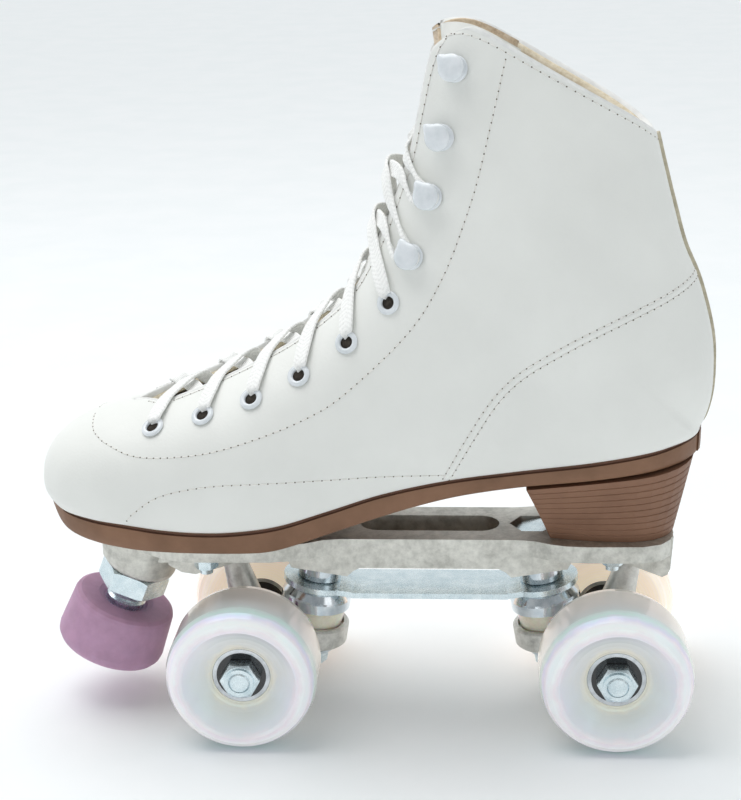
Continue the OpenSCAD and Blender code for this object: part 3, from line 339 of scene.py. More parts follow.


# near wheels: milky tones, with a painted highlight at the lip and painted pink, teal and blue reflections
# beside it
NEAR_FACE_AND_PAINTED_SHEEN = stops((0.0, (236, 232, 220)), (0.4, (244, 238, 220)), (0.48, (228, 229, 224)),
    (0.62, (226, 230, 230)),
                  (0.72, (226, 228, 232)), (0.80, (238, 228, 232)), (0.86, (240, 240, 240)),
                      (0.93, (234, 240, 240)), (1.0, (226, 236, 234)))
NEAR_TREAD_AND_PAINTED_SHEEN = stops((0.0, (238, 235, 228)), (0.3, (228, 226, 220)), (0.55, (214, 215, 212)),
    (0.72, (206, 214, 214)),
                   (0.83, (206, 230, 226)), (0.9, (226, 224, 238)), (0.95, (240, 232, 238)),
                       (1.0, (246, 246, 246)))
# far wheels: the same milky urethane made warmer and brighter; the warmth and brightness are painted light
# coming through it
FAR_FACE_PAINTED_LIGHT = stops((0.0, (240, 230, 212)), (0.45, (244, 230, 206)), (0.7, (246, 228, 208)),
    (0.86, (252, 242, 228)), (1.0, (242, 222, 204)))
FAR_TREAD_PAINTED_LIGHT = stops((0.0, (246, 232, 218)), (0.4, (240, 214, 194)), (1.0, (248, 230, 214)))

LEATHER = leather()
FLEECE = fleece()
WHITE_EDGE = plain("leather_edge", (226, 226, 224), (240, 240, 238), 0.55, 5.0, 0.5, 0.03).mat
THREAD = plain("stitch_thread", (226, 224, 218), (242, 240, 236), 0.7, 1.2, 0.2, 0.02).mat
# dark discs at the needle holes: painted shade in the holes
NEEDLE_HOLE_SHADE = plain("stitch_hole_shade", (96, 88, 78), (126, 116, 104), 0.85, 1.5, 0.3, 0.01).mat
RAW_EDGE = plain("raw_edge", (176, 168, 146), (206, 198, 176), 0.8, 3.0, 0.5, 0.08).mat
# dark discs in the eyelets: painted shadow of the holes
EYELET_PAINTED_SHADOW = plain("eyelet_shadow", (52, 46, 40), (74, 66, 58), 0.9, 1.5, 0.4, 0.01).mat
RAW_LINING = plain("lining_raw_edge", (214, 200, 172), (236, 226, 204), 0.9, 2.0, 0.4, 0.1).mat
LACE = lace_weave()
SOLE = soling("brown_sole", (120, 88, 66), (142, 106, 82))
HEEL = soling("heel_brown", (126, 92, 72), (142, 106, 84))
SOLE_LINE = soling("sole_line", (88, 58, 42), (104, 70, 52))
ENAMEL = plain("white_enamel", (216, 222, 226), (230, 234, 238), 0.24, 6.0, 1.2, 0.01, vary=0.06,
    Coat_Weight=0.4, Coat_Roughness=0.1).mat
BOARD = plain("board", (186, 160, 126), (212, 186, 150), 0.85, 5.0, 0.6, 0.06).mat
PLATE = cast("cast_plate", (178, 177, 170), (212, 211, 204))
HANGER = cast("cast_hanger", (176, 174, 168), (214, 212, 206))
ZINC = turned("zinc_steel", (198, 214, 220), (230, 240, 243), 0.26)
CHROME = turned("chrome_parts", (190, 202, 210), (236, 240, 243), 0.12)
BEARING = turned("bearing_steel", (176, 180, 184), (222, 225, 228), 0.16)
SHIELD = plain("shield_black", (14, 14, 16), (26, 26, 29), 0.22, 4.0, 0.8, 0.01, vary=0.08, Coat_Weight=0.7,
    Coat_Roughness=0.08).mat
CUP = plain("cup_black", (24, 24, 26), (38, 38, 40), 0.55, 5.0, 0.7, 0.03).mat
MAUVE = plain("stop_mauve", (180, 142, 170), (192, 152, 182), 0.6, 7.0, 0.35, 0.03, Subsurface_Weight=0.1,
    Subsurface_Scale=0.003).mat
CREAM = plain("cushion_cream", (230, 222, 200), (246, 240, 222), 0.3, 6.0, 0.8, 0.02, Subsurface_Weight=0.5,
    Subsurface_Scale=0.004,
              Coat_Weight=0.35).mat
WHEEL_MATS = {
    "wheel_fl": urethane("wheel_near_front", -48.35, NEAR_FACE_AND_PAINTED_SHEEN, NEAR_TREAD_AND_PAINTED_SHEEN, False),
    "wheel_rl": urethane("wheel_near_rear", 91.35, NEAR_FACE_AND_PAINTED_SHEEN, NEAR_TREAD_AND_PAINTED_SHEEN, False),
    "wheel_fr": urethane("wheel_far_front", -48.35, FAR_FACE_PAINTED_LIGHT, FAR_TREAD_PAINTED_LIGHT, True),
    "wheel_rr": urethane("wheel_far_rear", 91.35, FAR_FACE_PAINTED_LIGHT, FAR_TREAD_PAINTED_LIGHT, True),
}
FLOOR = plain("floor_paper", (243, 246, 247), (246, 248, 249), 0.75, 60.0, 1.2, 0.004, vary=0.05,
    Specular_IOR_Level=0.2).mat
BY_NODE = {
    "eyelets": ENAMEL, "lace_hooks": ENAMEL, "heel_counter": FLEECE, "toe_puff": BOARD, "insole_board": BOARD,
    "heel_block": HEEL, "plate": PLATE, "pivot_cups": CUP, "truck_strap": ZINC, "kingpin_collars": CHROME,
    "upper_cup_washers": CHROME, "lower_cup_washers": CHROME, "front_kingpin": ZINC, "rear_kingpin": ZINC,
    "kingpin_nuts": ZINC, "mounting_bolts": ZINC, "mounting_nuts": ZINC, "front_hanger": HANGER,
        "rear_hanger": HANGER,
    "front_axle": ZINC, "rear_axle": ZINC, "front_axle_nuts": ZINC, "rear_axle_nuts": ZINC,
    "toe_stop_stem": ZINC, "toe_stop_lock_nut": ZINC, "toe_stop_pad": MAUVE, **WHEEL_MATS,
}
for name, obj in NODES.items():
    finish = BY_NODE.get(name)
    if finish is None:
        if name.startswith(("outer_rings", "front_inner", "rear_inner", "balls")):
            finish = BEARING
        elif name.startswith("shields"):
            finish = SHIELD
        else:
            continue
    for place in obj.material_slots:
        place.material = finish


# ---------- mesh helpers ----------
def in_metres(points):
    p = np.asarray(points, float).reshape(-1, 3).copy()
    p[:, 0] += SHIFT
    return p / 1000.0


def piece(name, points, faces, material, body="skate", smooth=True, uvs=None, mats=None, slot=None):
    """A mesh from layout millimetres, with its faces turned outward."""
    mesh = bpy.data.meshes.new(name)
    mesh.from_pydata(in_metres(points).tolist(), [], [tuple(f) for f in faces])
    for m in [material] if not isinstance(material, (list, tuple)) else material:
        mesh.materials.append(m)
    if mats is not None:
        mesh.polygons.foreach_set("material_index", np.asarray(mats, np.int32))
    if uvs is not None:
        layer = mesh.uv_layers.new(name="UVMap")
        loops = np.zeros(len(mesh.loops), np.int32)
        mesh.loops.foreach_get("vertex_index", loops)
        layer.data.foreach_set("uv", np.asarray(uvs, np.float32)[loops].ravel())
    bm = bmesh.new()
    bm.from_mesh(mesh)
    bmesh.ops.remove_doubles(bm, verts=bm.verts, dist=2e-6)
    bmesh.ops.recalc_face_normals(bm, faces=bm.faces)
    for f in bm.faces:
        f.smooth = smooth
    bm.to_mesh(mesh)
    bm.free()
    obj = bpy.data.objects.new(name, mesh)
    bpy.context.collection.objects.link(obj)
    if body:
        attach(obj, body)
    return obj


def sharpen(obj, degrees=35.0):
    obj.data.set_sharp_from_angle(angle=math.radians(degrees))


def sheet_faces(n, m, off=0, loop_m=False):
    """Quads of an n by m grid of points; loop_m joins its last column to its first."""
    i, j = np.meshgrid(np.arange(n - 1), np.arange(m if loop_m else m - 1), indexing="ij")
    i, j = i.ravel(), j.ravel()
    k = (j + 1) % m
    return np.stack([i * m + j, i * m + k, (i + 1) * m + k, (i + 1) * m + j], 1) + off


def rim_faces(n, m, off):
    """Quads joining the four edges of two n by m grids, the second off points later."""
    ring = [(0, j) for j in range(m)] + [(i, m - 1) for i in range(1, n)]
    ring += [(n - 1, j) for j in range(m - 2, -1, -1)] + [(i, 0) for i in range(n - 2, 0, -1)]
    idx = [i * m + j for i, j in ring]
    return [(idx[k], idx[(k + 1) % len(idx)], idx[(k + 1) % len(idx)] + off,
        idx[k] + off) for k in range(len(idx))]


def slab(name, top, under, material, **keys):
    """Closed piece between two grids of points (n, m, 3)."""
    n, m = top.shape[:2]
    pts = np.concatenate([top.reshape(-1, 3), under.reshape(-1, 3)])
    faces = sheet_faces(n, m).tolist() + sheet_faces(n, m, n * m).tolist() + rim_faces(n, m, n * m)
    return piece(name, pts, faces, material, **keys)


def loft(name, rings, material, loop=False, uvs=None, caps=True, **keys):
    """Closed piece through rings of points (n, k, 3)."""
    n, k = rings.shape[:2]
    faces = sheet_faces(n, k, 0, True).tolist()
    if loop:
        last = (n - 1) * k
        faces += [(last + j, last + (j + 1) % k, (j + 1) % k, j) for j in range(k)]
    elif caps:
        faces += [list(range(k)), list(range((n - 1) * k, n * k))]
    return piece(name, rings.reshape(-1, 3), faces, material, uvs=uvs, **keys)


def unit(v):
    return v / np.maximum(np.linalg.norm(v, axis=-1, keepdims=True), 1e-12)


def smooth_line(points, count):
    """Evenly spaced points on a smooth curve through the given ones."""
    p = np.asarray(points, float)
    q = np.vstack([2 * p[0] - p[1], p, 2 * p[-1] - p[-2]])
    out = []
    for k in range(len(p) - 1):
        a, b, c, d = q[k:k + 4]
        u = np.linspace(0, 1, 24, endpoint=False)[:, None]
        out.append(0.5 * (2 * b + (c - a) * u + (2 * a - 5 * b + 4 * c - d) * u**2
            + (3 * b - a - 3 * c + d) * u**3))
    out = np.vstack(out + [p[-1:]])
    return resample(out, count)


def resample(line, count, measure=None):
    m = line if measure is None else measure
    d = np.concatenate([[0], np.cumsum(np.linalg.norm(np.diff(m, axis=0), axis=1))])
    at = np.linspace(0, d[-1], count)
    return np.stack([np.interp(at, d, line[:, k]) for k in range(line.shape[1])], 1)


# ---------- boot surface, the same as the CAD's ----------
ST = np.array([
    [-149.3, 95, -149.1, 98, 0, 0, 0.45, 2.0, 2.2],
    [-148.4, 90, -147.2, 104, 9.5, 1.0, 0.42, 2.0, 2.3],
    [-145.6, 86.2, -143.4, 109.5, 16.5, 5.0, 0.40, 2.0, 2.4],
    [-138, 84.6, -135.5, 115.5, 25, 16.5, 0.36, 2.0, 2.5],
    [-126, 84.8, -123.5, 120.7, 31, 26.5, 0.33, 2.0, 2.5],
    [-112, 85.0, -109, 124.8, 35.5, 33.0, 0.31, 2.0, 2.4],
    [-98, 84.4, -94.5, 130, 38.5, 36.7, 0.30, 2.0, 2.3],
    [-84, 84.0, -78.3, 136.8, 40, 38.2, 0.30, 2.0, 2.2],
    [-70, 84.4, -62.8, 144.6, 40, 38.2, 0.30, 2.0, 2.1],
    [-54, 86.2, -48.2, 153.2, 38.5, 36.3, 0.31, 2.0, 2.1],
    [-36, 90.8, -36, 163, 36, 32.5, 0.33, 2.0, 2.1],
    [-16, 96.2, -27, 173, 33.5, 28.7, 0.36, 2.0, 2.1],
    [8, 101.0, -21.3, 184, 33, 27.0, 0.39, 2.1, 2.1],
    [34, 104.8, -17, 195, 33, 27.5, 0.42, 2.2, 2.1],
    [60, 108.4, -14, 205.3, 33, 28.8, 0.45, 2.4, 2.1],
    [80, 111.2, -11.9, 213.3, 33, 26.0, 0.46, 2.6, 2.1],
    [92, 112.7, -10.3, 219.6, 32.5, 18.5, 0.46, 2.9, 2.1],
    [99, 113.3, -9, 225.5, 32.2, 9.0, 0.46, 3.1, 2.1],
    [102.4, 115.2, -7.7, 231.5, 32, 0, 0.46, 3.2, 2.1],
    [105.6, 125, -6.5, 237.5, 31.5, 0, 0.46, 3.2, 2.1],
    [106.3, 138, -5.2, 243.5, 30.5, 0, 0.46, 3.0, 2.1],
    [105, 152, -4, 249, 29.3, 0, 0.46, 2.8, 2.1],
    [100, 170, -2.8, 253.5, 28, 0, 0.46, 2.6, 2.1],
    [94, 184, -1.8, 257, 26.5, 0, 0.46, 2.4, 2.1],
    [89.8, 198, -0.8, 259, 25.3, 0, 0.46, 2.3, 2.1],
    [86.2, 211, 0.6, 260.2, 24.5, 0, 0.46, 2.3, 2.1],
    [82.8, 224, 2.6, 260.6, 24, 0, 0.46, 2.3, 2.1],
])
LAST = len(ST) - 1


def station(s):
    s = np.asarray(s, float)
    k = np.clip(np.floor(s).astype(int), 0, LAST - 1)
    u = (s - k)[..., None]
    a, b, c, d = ST[np.maximum(k - 1, 0)], ST[k], ST[k + 1], ST[np.minimum(k + 2, LAST)]
    return 0.5 * (2 * b + (c - a) * u + (2 * a - 5 * b + 4 * c - d) * u * u + (3 * b - a - 3 * c + d) * u**3)


def ease(a, b, v):
    u = np.clip((np.asarray(v, float) - a) / (b - a), 0, 1)
    return u * u * (3 - 2 * u)


def inner(s, depth, sole=0.0):
    """Station moved inward by depth, and by sole more along the sole line."""
    s = np.asarray(s, float)
    a, b, q = station(np.clip(s - 0.02, 0, LAST)), station(np.clip(s + 0.02, 0, LAST)), station(s).copy()
    tb, tf = unit(b[..., 0:2] - a[..., 0:2]), unit(b[..., 2:4] - a[..., 2:4])
    db = depth + sole * (1 - ease(16.6, 18.2, s))
    q[..., 0] -= tb[..., 1] * db
    q[..., 1] += tb[..., 0] * db
    q[..., 2] += tf[..., 1] * depth
    q[..., 3] -= tf[..., 0] * depth
    q[..., 4] = np.maximum(q[..., 4] - depth, 0)
    q[..., 5] = np.maximum(q[..., 5] - depth, 0)
    return q


def half_width(q, t):
    lo = np.sqrt(np.maximum(0, 1 - np.power(np.maximum(1 - t / q[..., 6], 0), q[..., 7])))
    hi = np.sqrt(np.maximum(0, 1 - np.power(np.maximum((t - q[..., 6]) / (1 - q[..., 6]), 0), q[..., 8])))
    return np.where(t < q[..., 6], q[..., 5] + (q[..., 4] - q[..., 5]) * lo, q[..., 4] * hi)


def share_at(q, g):
    x = 1 - np.square(np.minimum(g / np.maximum(q[..., 4], 1e-6), 1))
    return q[..., 6] + (1 - q[..., 6]) * np.power(x, 1 / q[..., 8])


def section(s, q, t, y):
    d = q[..., 2:4] - q[..., 0:2]
    n = unit(np.stack([d[..., 1], -d[..., 0]], -1))
    b = ease(21, LAST, s) * (2.2 + 8 * t) * (1 - np.power(np.abs(2 * t - 1), 7))
    p = q[..., 0:2] + d * t[..., None] + n * b[..., None]
    return np.stack([p[..., 0], y, p[..., 1]], -1)


def throat(s):
    return 12 * ease(4.7, 5.9, s) * (1 - 0.2 * ease(16, LAST, s))


def on_boot(s, t, sg, depth=0.0, sole=0.0):
    s, t, sg = np.broadcast_arrays(np.asarray(s, float), np.asarray(t, float), np.asarray(sg, float))
    q = inner(s, depth, sole) if depth else station(s)
    return section(s, q, t, sg * half_width(q, t))


def away(s, t, sg):
    s, t, sg = np.broadcast_arrays(np.asarray(s, float), np.asarray(t, float), np.asarray(sg, float))
    e = 0.001
    top = np.minimum(t + e, 1)
    a = on_boot(s + e, t, sg) - on_boot(s - e, t, sg)
    b = on_boot(s, top, sg) - on_boot(s, top - 2 * e, sg)
    n = unit(np.cross(a, b))
    return np.where((n[..., 1:2] * sg[..., None]) < 0, -n, n)


def share(u, t_end):
    return t_end * (0.5 - 0.5 * np.cos(math.pi * u)) * 0.75 + t_end * u * 0.25


def shell_grid(rows, cols, depth, sole=0.0, rise=0.0):
    """Grid from the right edge under the sole to the left one, following the throat."""
    u = np.abs(np.linspace(-1, 1, 2 * cols + 1))
    sg = np.where(np.linspace(-1, 1, 2 * cols + 1) < 0, -1.0, 1.0)
    s = rows[:, None] + 0 * u[None, :]
    q, r = inner(s, depth, sole), inner(s, max(depth - rise, 0.001), sole)
    g = throat(s)
    te = np.where(g > 0, share_at(q, g), 1.0)
    re = np.where(g > 0, share_at(r, g), 1.0)
    t, v = share(u[None, :], te), share(u[None, :], re)
    m = (ease(4.6, 6, s) * ease(0.45, 0.7, t))[..., None]
    low = section(s, q, t, sg * half_width(q, t))
    high = section(s, r, v, sg * half_width(r, v))
    return low + (high - low) * m, t, sg + 0 * s


def throat_shell(name, outer, inner_grid, rows, cols, material, **keys):
    """Closed shell from two grids, its throat edges joined only where it is open."""
    n, m = outer.shape[:2]
    pts = np.concatenate([outer.reshape(-1, 3), inner_grid.reshape(-1, 3)])
    off = n * m
    faces = sheet_faces(n, m).tolist() + sheet_faces(n, m, off).tolist()
    faces += [((n - 1) * m + j, (n - 1) * m + j + 1, off + (n - 1) * m + j + 1,
        off + (n - 1) * m + j) for j in range(m - 1)]
    first = int(np.sum(rows <= 4.7)) - 1
    for edge in (0, m - 1):
        faces += [(i * m + edge, (i + 1) * m + edge, off + (i + 1) * m + edge,
            off + i * m + edge) for i in range(first, n - 1)]
    return piece(name, pts, faces, material, **keys)


# ---------- the boot's outside ----------
def st_at(xz):
    """(station, share) of side-view points, x and z in layout mm."""
    xz = np.asarray(xz, float)
    gs, gt = np.meshgrid(np.linspace(3, 26, 460), np.linspace(0, 1, 150), indexing="ij")
    g = on_boot(gs, gt, 1.0)[..., [0, 2]].reshape(-1, 2)
    near = np.array([np.argmin(((g - p) ** 2).sum(1)) for p in xz])
    s, t = gs.ravel()[near], gt.ravel()[near]
    for _ in range(4):
        f = lambda a, b: on_boot(a, b, 1.0)[:, [0, 2]]
        e = f(s, t) - xz
        js, jt = (f(s + 0.01, t) - f(s - 0.01, t)) / 0.02, (f(s, t + 0.002) - f(s, t - 0.002)) / 0.004
        det = js[:, 0] * jt[:, 1] - js[:, 1] * jt[:, 0]
        s = np.clip(s - (e[:, 0] * jt[:, 1] - e[:, 1] * jt[:, 0]) / det, 3, 26.2)
        t = np.clip(t - (js[:, 0] * e[:, 1] - js[:, 1] * e[:, 0]) / det, 0, 0.998)
    return np.stack([s, t], 1)


def seam(points, count):
    """A smooth side-view line as (station, share)."""
    return st_at(smooth_line(points, count))


COLS = 60
ROWS = np.concatenate([[0.02, 0.06, 0.12, 0.2, 0.3, 0.4, 0.5, 0.62, 0.75, 0.88], np.arange(1, 26.01, 0.125)])
CORNER = 13.0  # radius of the front corner of each side's top


def back_pull(s, t, y):
    """How far the leather is drawn in along the seam up the back."""
    return 1.9 * ease(16.8, 18.4, s) * np.exp(-np.square(y / 5.0)) * (t < 0.3)


def round_corner(p, s, t, sg):
    """Moves points near the top front corners so that the corner is round."""
    te = share_at(station(s), throat(s))
    a = np.linalg.norm(on_boot(s, t, sg) - on_boot(s, te, sg), axis=-1)
    b = np.linalg.norm(on_boot(np.full(np.shape(s), 26.0), t, sg) - on_boot(s, t, sg), axis=-1)
    u, v = np.clip(1 - a / CORNER, 0, 1), np.clip(1 - b / CORNER, 0, 1)
    on = (s > 20)
    du = CORNER * (u - u * np.sqrt(1 - v * v / 2)) * on
    dv = CORNER * (v - v * np.sqrt(1 - u * u / 2)) * on
    top = on_boot(26.0, share_at(station(26.0), 9.6), 1.0)
    back = unit(on_boot(26.0, 0.75, 1.0) - top)
    down = unit(on_boot(23.0, share_at(station(23.0), 9.8), 1.0) - top)
    flip = np.stack([np.ones_like(sg), sg, np.ones_like(sg)], -1)
    return p + (du[..., None] * back + dv[..., None] * down) * flip


def layer(rows, cols, depth, sole=0.0, rise=0.0):
    """One surface of the boot with its round corners and pulled-in back."""
    g, t, sg = shell_grid(rows, cols, depth, sole, rise)
    s = rows[:, None] + 0 * t
    n = away(s, t, sg)
    n[:, cols, 1] = 0
    n = unit(n)
    g = g - n * back_pull(s, t, g[..., 1])[..., None]
    return round_corner(g, s, t, sg), n


def edge_path(grid, rows):
    """Points round the open edge: up one facing, along the rim and down the other."""
    first = int(np.sum(rows <= 4.7))
    n, m = grid.shape[:2]
    ij = [(i, 0, i, 1) for i in range(first, n - 1)] + [(n - 1, j, n - 2, j) for j in range(m)]
    ij += [(i, m - 1, i, m - 2) for i in range(n - 2, first - 1, -1)]
    ij = np.array(ij)
    return grid[ij[:, 0], ij[:, 1]], grid[ij[:, 2], ij[:, 3]]


def bead(name, outer_grid, inner_grid, rows, material, slot, bulge, lift=0.0, count=420):
    """Rounded edge that closes two layers along the boot's open edge."""
    po, no = edge_path(outer_grid, rows)
    pi, ni = edge_path(inner_grid, rows)
    mid, way = (po + pi) / 2, unit(po - no) + unit(pi - ni)
    line = np.hstack([mid, po, pi, way])
    line = resample(line, count, mid)
    mid, po, pi, way = line[:, 0:3], line[:, 3:6], line[:, 6:9], unit(line[:, 9:12])
    ang = np.linspace(0, math.pi, 9)
    rings = mid[:, None] + (po - mid)[:, None] * 1.04 * np.cos(ang)[None, :, None]
    rings = rings + way[:, None] * (lift + bulge * np.sin(ang) ** 0.7)[None, :, None]
    deep = np.stack([pi - way * 1.2, po - way * 1.2], 1)
    return loft(name, np.concatenate([rings, deep], 1), material, slot=slot)


outer, normals = layer(ROWS, COLS, 0.001)
inside, _ = layer(ROWS, COLS, 2.4)
# at the toe tip the outline is narrower than the leather is thick, so the inside is set back from the outside
TIP_ROWS = 9
TIP_SETBACK = np.array([3.0, 0, 0.6])
inside[:TIP_ROWS] = outer[:TIP_ROWS] + TIP_SETBACK
upper = throat_shell("upper_leather", outer, inside, ROWS, COLS, LEATHER, slot="white_leather")
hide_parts("boot_vamp", "left_quarter", "right_quarter")
bead("leather_edge", outer, inside, ROWS, WHITE_EDGE, "white_leather", 0.7)
lining_rows = np.concatenate([[0.8, 1.0, 1.3, 1.6], np.arange(2, 26.01, 0.2)])
lining_out, _ = layer(lining_rows, 44, 2.5, 3.1, 0.4)
lining_in, _ = layer(lining_rows, 44, 5.4, 3.1, 0.8)
lining = throat_shell("lining", lining_out, lining_in, lining_rows, 44, FLEECE, slot="fleece")
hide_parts("boot_lining")
bead("lining_edge", lining_out, lining_in, lining_rows, RAW_LINING, "fleece", 1.1, 0.3)

# seam lines of one side in the side view: x and z in layout mm, with smooth curves between
FACING_TOE = [(3.7, 0.995), (3.74, 0.97), (3.9, 0.9), (4.2, 0.825)]  # (station, share), over the toe
FACING = [(-121, 115), (-107, 112), (-88, 113.5), (-70, 117.5), (-45, 126.7), (-28, 137),
          (-6, 158.3), (6, 177.5), (15, 200.5), (20, 218), (28, 252.5)]
FOXING = [(-111, 87.5), (-108, 91), (-97.5, 98.5), (-81, 102.8), (-62, 104), (-17, 104.2), (7.5, 104)]
COUNTER = [(7, 102), (16, 119), (26.5, 135.5), (40, 147), (67, 161.5), (98.5, 175)]


# ---------- stitches ----------
def place_on(line, sides, lift, shift=0.0):
    """3-D points and normals of a (station, share) line on each side."""
    for sg in sides:
        s, t = line[:, 0], np.clip(line[:, 1], 0.0, 1)
        side = np.full(len(s), float(sg))
        p, n = on_boot(s, t, side), away(s, t, side)
        d = unit(np.gradient(p, axis=0))
        p = p + n * (lift - back_pull(s, t, p[:, 1]))[:, None] + unit(np.cross(n, d)) * (shift * sg)
        yield round_corner(p, s, t, side), n


def stitch_row(name, line, lift=0.0, shift=0.0, pitch=3.25, r=0.24, sides=(-1, 1), raw=None, hole=0.27):
    """Thread between needle holes along a line on the boot, with a dark disc of painted shade sunk in at each
    hole.
    """
    thread_pts, thread_faces, hole_pts, hole_faces = [], [], [], []
    for p, n in raw or place_on(line, sides, lift, shift):
        length = np.concatenate([[0], np.cumsum(np.linalg.norm(np.diff(p, axis=0), axis=1))])
        count = max(int(length[-1] / pitch), 1)
        at = np.linspace(0, length[-1], count + 1)
        pos = np.stack([np.interp(at, length, p[:, k]) for k in range(3)], 1)
        nrm = unit(np.stack([np.interp(at, length, n[:, k]) for k in range(3)], 1))
        for k in range(count):
            a, b, up = pos[k] * 0.92 + pos[k + 1] * 0.08, pos[k] * 0.08 + pos[k + 1] * 0.92, nrm[k]
            side = unit(np.cross(b - a, up))
            ang = np.arange(6) * math.pi / 3
            o = len(thread_pts) * 30
            rings = []
            for u, w, h in ((0.0, 0.4, -0.9), (0.16, 0.9, 0.0), (0.5, 1.0, 0.2), (0.84, 0.9, 0.0),
                (1.0, 0.4, -0.9)):
                rings.append(a + (b - a) * u + up * h * r
                    + r * w * (np.cos(ang)[:, None] * side + np.sin(ang)[:, None] * up))
            thread_pts.append(np.vstack(rings))
            thread_faces += (sheet_faces(5, 6, 0, True) + o).tolist() + [[o + j for j in range(6)],
                [o + 24 + j for j in range(6)]]
        # dark discs at each needle hole: painted shade
        for k in range(count + 1):
            side = unit(np.cross(nrm[k], pos[min(k + 1, count)] - pos[max(k - 1, 0)]))
            fore = np.cross(side, nrm[k])
            ang = np.arange(8) * math.pi / 4
            disc = np.cos(ang)[:, None] * side * hole + np.sin(ang)[:, None] * fore * hole * 1.15
            o = len(hole_pts) * 16
            hole_pts.append(np.vstack([pos[k] + disc + nrm[k] * 0.06, pos[k] + disc * 0.8 - nrm[k] * 0.35]))
            hole_faces += (sheet_faces(2, 8, 0, True) + o).tolist() + [[o + j for j in range(8)],
                [o + 8 + j for j in range(8)]]
    piece(name + "_thread", np.vstack(thread_pts), thread_faces, THREAD, slot="white_leather")
    piece(name + "_holes", np.vstack(hole_pts), hole_faces, NEEDLE_HOLE_SHADE, slot="white_leather")


def ridge(name, line, half, height, sides=(-1, 1)):
    """A soft raised strip of leather between or beside rows of stitches."""
    for sg, (p, n) in zip(sides, place_on(line, sides, 0.0)):
        d = unit(np.gradient(p, axis=0))
        across = unit(np.cross(n, d))
        shape = [(-1.35, -0.5), (-1.0, -0.05), (-0.6, 0.75), (0.0, 1.0), (0.6, 0.75), (1.0, -0.05),
            (1.35, -0.5)]
        rings = np.stack([p + across * (half * u) + n * (height * h) for u, h in shape], 1)
        loft(f"{name}_{'near' if sg < 0 else 'far'}", rings, LEATHER, slot="white_leather")


facing_line = np.vstack([smooth_line(FACING_TOE, 40)[:-1], seam(FACING, 460)])
stitch_row("facing_stitch", facing_line, pitch=2.7)
stitch_row("foxing_stitch", seam(FOXING, 300))
counter_line = seam(COUNTER, 340)
stitch_row("counter_stitch", counter_line, shift=-1.3, pitch=2.8)
stitch_row("counter_stitch_2", counter_line, shift=1.3, pitch=2.8)
ridge("counter_ridge", counter_line, 0.95, 0.22)

# the row that runs beside the open edge, up the facing, round its corner and along the rim
po, pin = edge_path(outer, ROWS)
inward = unit(pin - po)
first = int(np.sum(ROWS <= 4.7))
nrm = np.concatenate([normals[first:-1, 0], normals[-1, :], normals[-2:first - 1:-1, -1]])
half = len(po) // 2
for tag, sl in (("near", slice(4, half - 3)), ("far", slice(half + 3, -4))):
    keep = po[sl] + inward[sl] * 2.9
    turn = resample(np.hstack([keep, nrm[sl]]), 500, keep)
    for _ in range(12):
        turn[1:-1] = (turn[:-2] + turn[1:-1] * 2 + turn[2:]) / 4
    stitch_row("edge_stitch_" + tag, None,
        raw=[(turn[:, :3] + unit(turn[:, 3:]) * 0.02, unit(turn[:, 3:]))], r=0.24, pitch=3.4)

# ---------- seam up the back ----------
back_s = np.linspace(17.3, 26.0, 120)
back_p = on_boot(back_s, 0.0, 1.0)
back_d = unit(np.gradient(back_p, axis=0))
back_n = np.stack([back_d[:, 2], 0 * back_s, -back_d[:, 0]], 1)
back_n *= np.sign(back_n[:, 0:1])
fade = 1.3 * (1 - ease(17.3, 18.4, back_s))
# half width and height of the pressed-together edges, with a groove between the two
BACK_FIN = [(-1.9, -2.8), (-1.5, 0.0), (-1.3, 0.5), (-0.3, 0.55), (-0.12, 0.1),
            (0.12, 0.1), (0.3, 0.55), (1.3, 0.5), (1.5, 0.0), (1.9, -2.8)]
rings = np.stack([back_p + back_n * (h - fade)[:, None] + np.array([0, y, 0]) for y, h in BACK_FIN], 1)
loft("back_seam", rings, RAW_EDGE, slot="fleece")


# ---------- soft parts inside ----------
def pad_under_throat(rows, reach, outer_depth, inner_depth, cols=22):
    """Outer and inner points of a padded strip under the throat with round edges."""
    v = np.linspace(-1, 1, 2 * cols + 1)
    s = rows[:, None] + 0 * v[None, :]
    q = inner(s, outer_depth)
    r = np.minimum(reach, q[..., 4] - 1.0)
    t0 = share_at(q, r)
    t = 1 - (1 - t0) * v[None, :] ** 2
    sg = np.where(v < 0, -1.0, 1.0)[None, :] + 0 * s
    end = np.clip((26.2 - rows) / 0.6, 0, 1)[:, None] ** 0.5
    mid = (outer_depth + inner_depth) / 2
    top = section(s, inner(s, mid), t, sg * half_width(inner(s, mid), t))
    n = away(s, t, sg)
    n[:, cols, 1] = 0
    n = unit(n)
    thick = (inner_depth - outer_depth) / 2 * np.sqrt(np.clip(1 - np.abs(v[None, :]) ** 8, 0.02, 1)) * end
    soft = 0.35 * np.sin(s * 5.1 + 2 * v[None, :]) * (1 - v[None, :] ** 2)
    return top + n * (thick + soft)[..., None], top - n * thick[..., None]


tongue_rows = np.concatenate([np.arange(4.5, 25.6, 0.2), [25.7, 25.9, 26.05, 26.2]])
top, under = pad_under_throat(tongue_rows, 20.0, 7.4, 10.6)
n, m = top.shape[:2]
n_quads = (n - 1) * (m - 1)
tongue = slab("tongue_pad", top, under, [LEATHER, FLEECE], slot="white_leather",
              mats=[0] * n_quads + [1] * n_quads + [1] * (2 * (n + m) - 4))
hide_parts("tongue")

